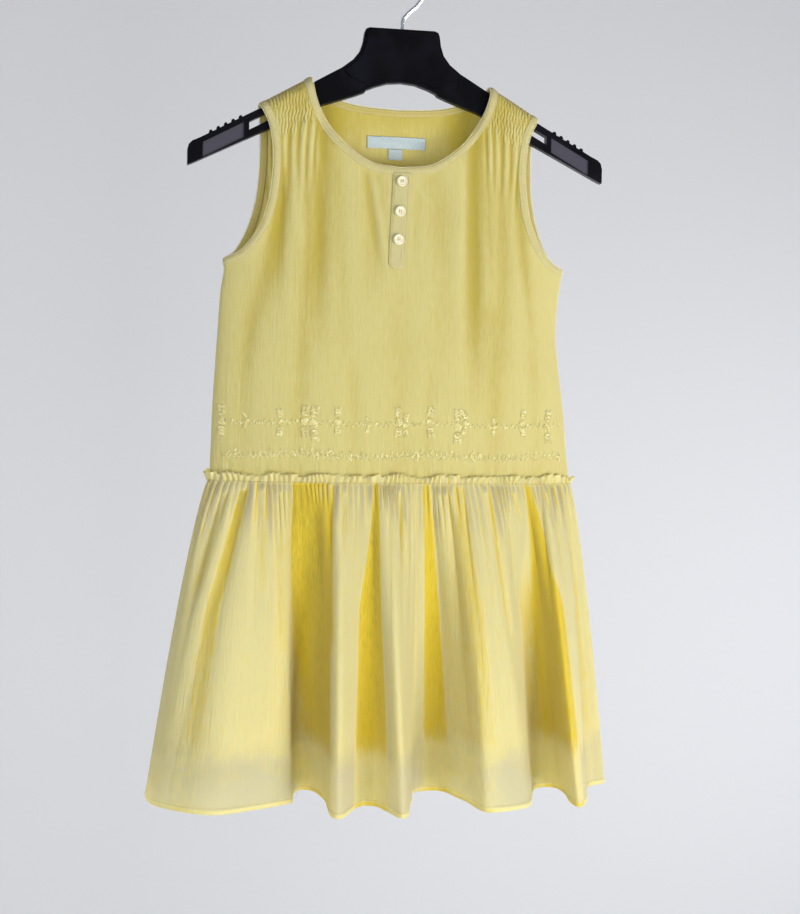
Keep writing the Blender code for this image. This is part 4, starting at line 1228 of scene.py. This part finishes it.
line = []
for sign in (-1, 1):
    z = np.linspace(PLACKET_TOP, PLACKET_END + 3.0, 60)[::sign]
    line.append(np.column_stack([placket_middle(z) - sign * placket_half(z) * 0.8, z]))
line = np.concatenate(line)
spots, outs = bodice_spot(line[:, 0], line[:, 1])
lay_stitches("placket_stitches", "stitch", [walk(spots, outs, 2.5, 2.25, closed=False)],
             (1.8, 0.45, 0.4), thread_dark, "binding_yellow")

# %% [markdown]
# ## Button thread
# Each button is held by two short bars of thread through its four holes.
# %% Buttons
BUTTONS = dict(button_top=-215.0, button_middle=-245.0, button_lower=-273.0)
bars = []
for name, z in BUTTONS.items():
    seat, out = bodice_spot([placket_middle(z)], [z])
    up = np.cross(out[0], (1.0, 0.0, 0.0))
    cross = np.cross(up, out[0])
    for sign in (-1, 1):
        for strand in (-0.22, 0.22):
            place = seat[0] + out[0] * 5.15 + cross * (0.95 * sign + strand)
            bars.append((place, up, out[0]))
lay_stitches("button_thread", "stitch", [[np.array(part) for part in zip(*bars)]],
             (2.6, 0.55, 0.6), thread_dark, "button_pearl")
for name in BUTTONS:
    bpy.data.objects[name].material_slots[0].material = pearl

# %% [markdown]
# ## Labels
# A woven tape and a small tag sit inside the back of the neck.  They are left blank.
# %% Labels
LABELS = [dict(name="neck_label", x0=-31, x1=29, z0=-178, z1=-166),
          dict(name="size_tag", x0=-9, x1=5, z0=-189.5, z1=-178.5)]
for row in LABELS:
    lx, lz = np.meshgrid(np.linspace(row["x1"], row["x0"], 61),
                         np.linspace(row["z0"], row["z1"], 15))
    here, out = bodice_spot(lx, lz, True)
    fold = np.minimum(np.abs(lx - row["x0"]), np.abs(lx - row["x1"]))
    puff = 0.25 * smooth(fold / 4.0) * np.sin(lz * 0.5 + lx * 0.07)
    places = here - out * (1.15 + puff)[..., None]
    sheet = lay_cloth(row["name"] + "_tape", row["name"], places, tape, 0.45, "label_grey",
                      np.stack([lx, lz], -1))
    (row["x1"] - row["x0"]) * MM
    (row["z1"] - row["z0"]) * MM

# %% [markdown]
# ## Embroidery
# A band of hand embroidery crosses the front above the waist, in thread of nearly the
# cloth's colour: a row of feather stitches with upright sprigs of lazy-daisy loops, and a
# narrower row of small curls below.  The sprigs are of this dress's own drawing, and each
# is a little different in size and tilt.
# %% Embroidery
BAND_Z, CURLS_Z = -455.0, -487.0


def sprig(cx, cz, size, tilt):
    """Stitches of one sprig, as rows of x, z, angle, length and whether it is a loop."""
    rows = []
    for k in range(8):
        a = k * math.pi / 4 + tilt
        far = size * (0.42 if k % 2 else 0.6)
        rows.append((cx + far * 0.5 * math.cos(a), cz + far * 0.5 * math.sin(a), a,
                     far * 0.8, k % 2))
    for way in (1, -1):
        for step in range(1, 4):
            y = cz + way * size * (0.45 + 0.36 * step)
            for lean in (-1, 1):
                a = way * (math.pi / 2 - lean * 0.7)
                rows.append((cx + lean * size * 0.2 + tilt * 3 * step, y, a, size * 0.34, 1))
            rows.append((cx + tilt * 3 * step, y - way * size * 0.1, math.pi / 2,
                         size * 0.3, 0))
    return rows


def feather_row(z, pitch, size, wander):
    rows = []
    for k, x in enumerate(np.arange(-172.0, 173.0, pitch)):
        mid = z + wander * math.sin(x / 21.0) + 0.6 * math.sin(k * 2.3)
        lean = 0.6 if k % 2 else -0.6
        rows.append((x, mid, lean, size, 0))
        rows.append((x + 0.8, mid + (1.6 if k % 2 else -1.6), -lean * 1.5, size * 0.8,
                     k % 3 == 0))
    return rows


SPRIGS = rows_of("x size",
    (-174, 9), (-150, 4.5), (-117, 8), (-94, 9), (-85, 10), (-61, 8), (-30, 4.5), (0, 9), (6, 7),
    (31, 9), (60, 10), (68, 7), (98, 5), (128, 8), (156, 10))
work = feather_row(BAND_Z - 0.5, 2.6, 2.6, 0.8) + feather_row(CURLS_Z - 1.5, 2.3, 2.2, 1.2)
work += feather_row(CURLS_Z + 2.0, 5.0, 3.0, 1.6)
for k, row in enumerate(SPRIGS):
    work += sprig(row["x"], BAND_Z + 2 * math.sin(3 * k), row["size"], 0.25 * math.sin(5 * k))
    work += sprig(row["x"] + 14, CURLS_Z, row["size"] * 0.33, 0.4 * math.sin(2 * k))
work = np.array(work)
ex, ez = work[:, 0], work[:, 1]
keep = np.abs(ex) < reach(ex, ez) - 3.0
ex, ez, ea, el = ex[keep], ez[keep], work[keep, 2], work[keep, 3]
spots, outs = bodice_spot(ex, ez)
tips, _ = bodice_spot(ex + 0.4 * np.cos(ea), ez + 0.4 * np.sin(ea))
directions = tips - spots
spots = spots + outs * (1.35 + relief(ex, ez))[:, None]
lay_stitches("embroidery", "stitch", [(spots, directions, outs)],
             np.stack([el * 1.15, np.full_like(el, 1.25), np.full_like(el, 1.1)], -1),
             thread_gold, "voile_yellow")
ring = work[keep, 4] > 0.5
lay_stitches("embroidered_rings", "loop",
             [(spots[ring] + 0.2 * outs[ring], directions[ring], outs[ring])],
             np.stack([el[ring] * 1.35, el[ring] * 0.95, np.full(ring.sum(), 1.5)], -1),
             thread_gold, "voile_yellow")

# %% [markdown]
# ## Waist and hem stitching
# A row of stitches runs under the frill, and the rolled hem is held by a fine one.
# %% Waist and hem stitches
rows = []
for back in (False, True):
    share = np.linspace(0, 1, 200)
    line = along(*waist_curve(back, 1.6), share)
    spots = np.column_stack([line, np.full(200, WAIST_Z - 0.2)])
    side = np.gradient(line, axis=0)
    outs = unit(np.column_stack([side[:, 1], -side[:, 0], np.zeros(200)]))
    rows.append(walk(spots, outs, 2.4, 2.6, closed=False))
lay_stitches("waist_stitches", "stitch", rows, (1.7, 0.5, 0.5), thread_dark, "voile_yellow")

rows = []
for back in (False, True):
    z = np.array([HEM_Z + 5.0, HEM_Z + 5.8, HEM_Z + 6.6])
    base, out = skirt_sheet(back, np.linspace(0, 1, 500), z)
    rows.append(walk(base[1], out[1], 2.6, 0.95, closed=False))
lay_stitches("hem_stitches", "stitch", rows, (1.7, 0.4, 0.35), thread_dark, "voile_yellow")

# %% [markdown]
# ## Hanger
# The moulded body, its plates and the hook keep the frame's own shapes, which are hard and
# right.  They are only given their finishes.
# %% Hanger finishes
for name in ("hanger_body", "hanger_plate_front", "hanger_plate_back"):
    bpy.data.objects[name].material_slots[0].material = plastic
bpy.data.objects["hanger_hook"].material_slots[0].material = steel

# %% [markdown]
# ## How much cloth each sheet holds
# The cloth area of every sheet is printed: half the surface of its wall.
# %% Sheets


def cloth_area(obj):
    return sum(p.area for p in obj.data.polygons) / 2


for piece in (bodice_front, bodice_back, skirt_front, skirt_back, skirt_lining, waist_frill,
              neck_binding, *arm_bindings, placket):
    print(piece.name, "cloth area", round(cloth_area(piece), 4), "m2")
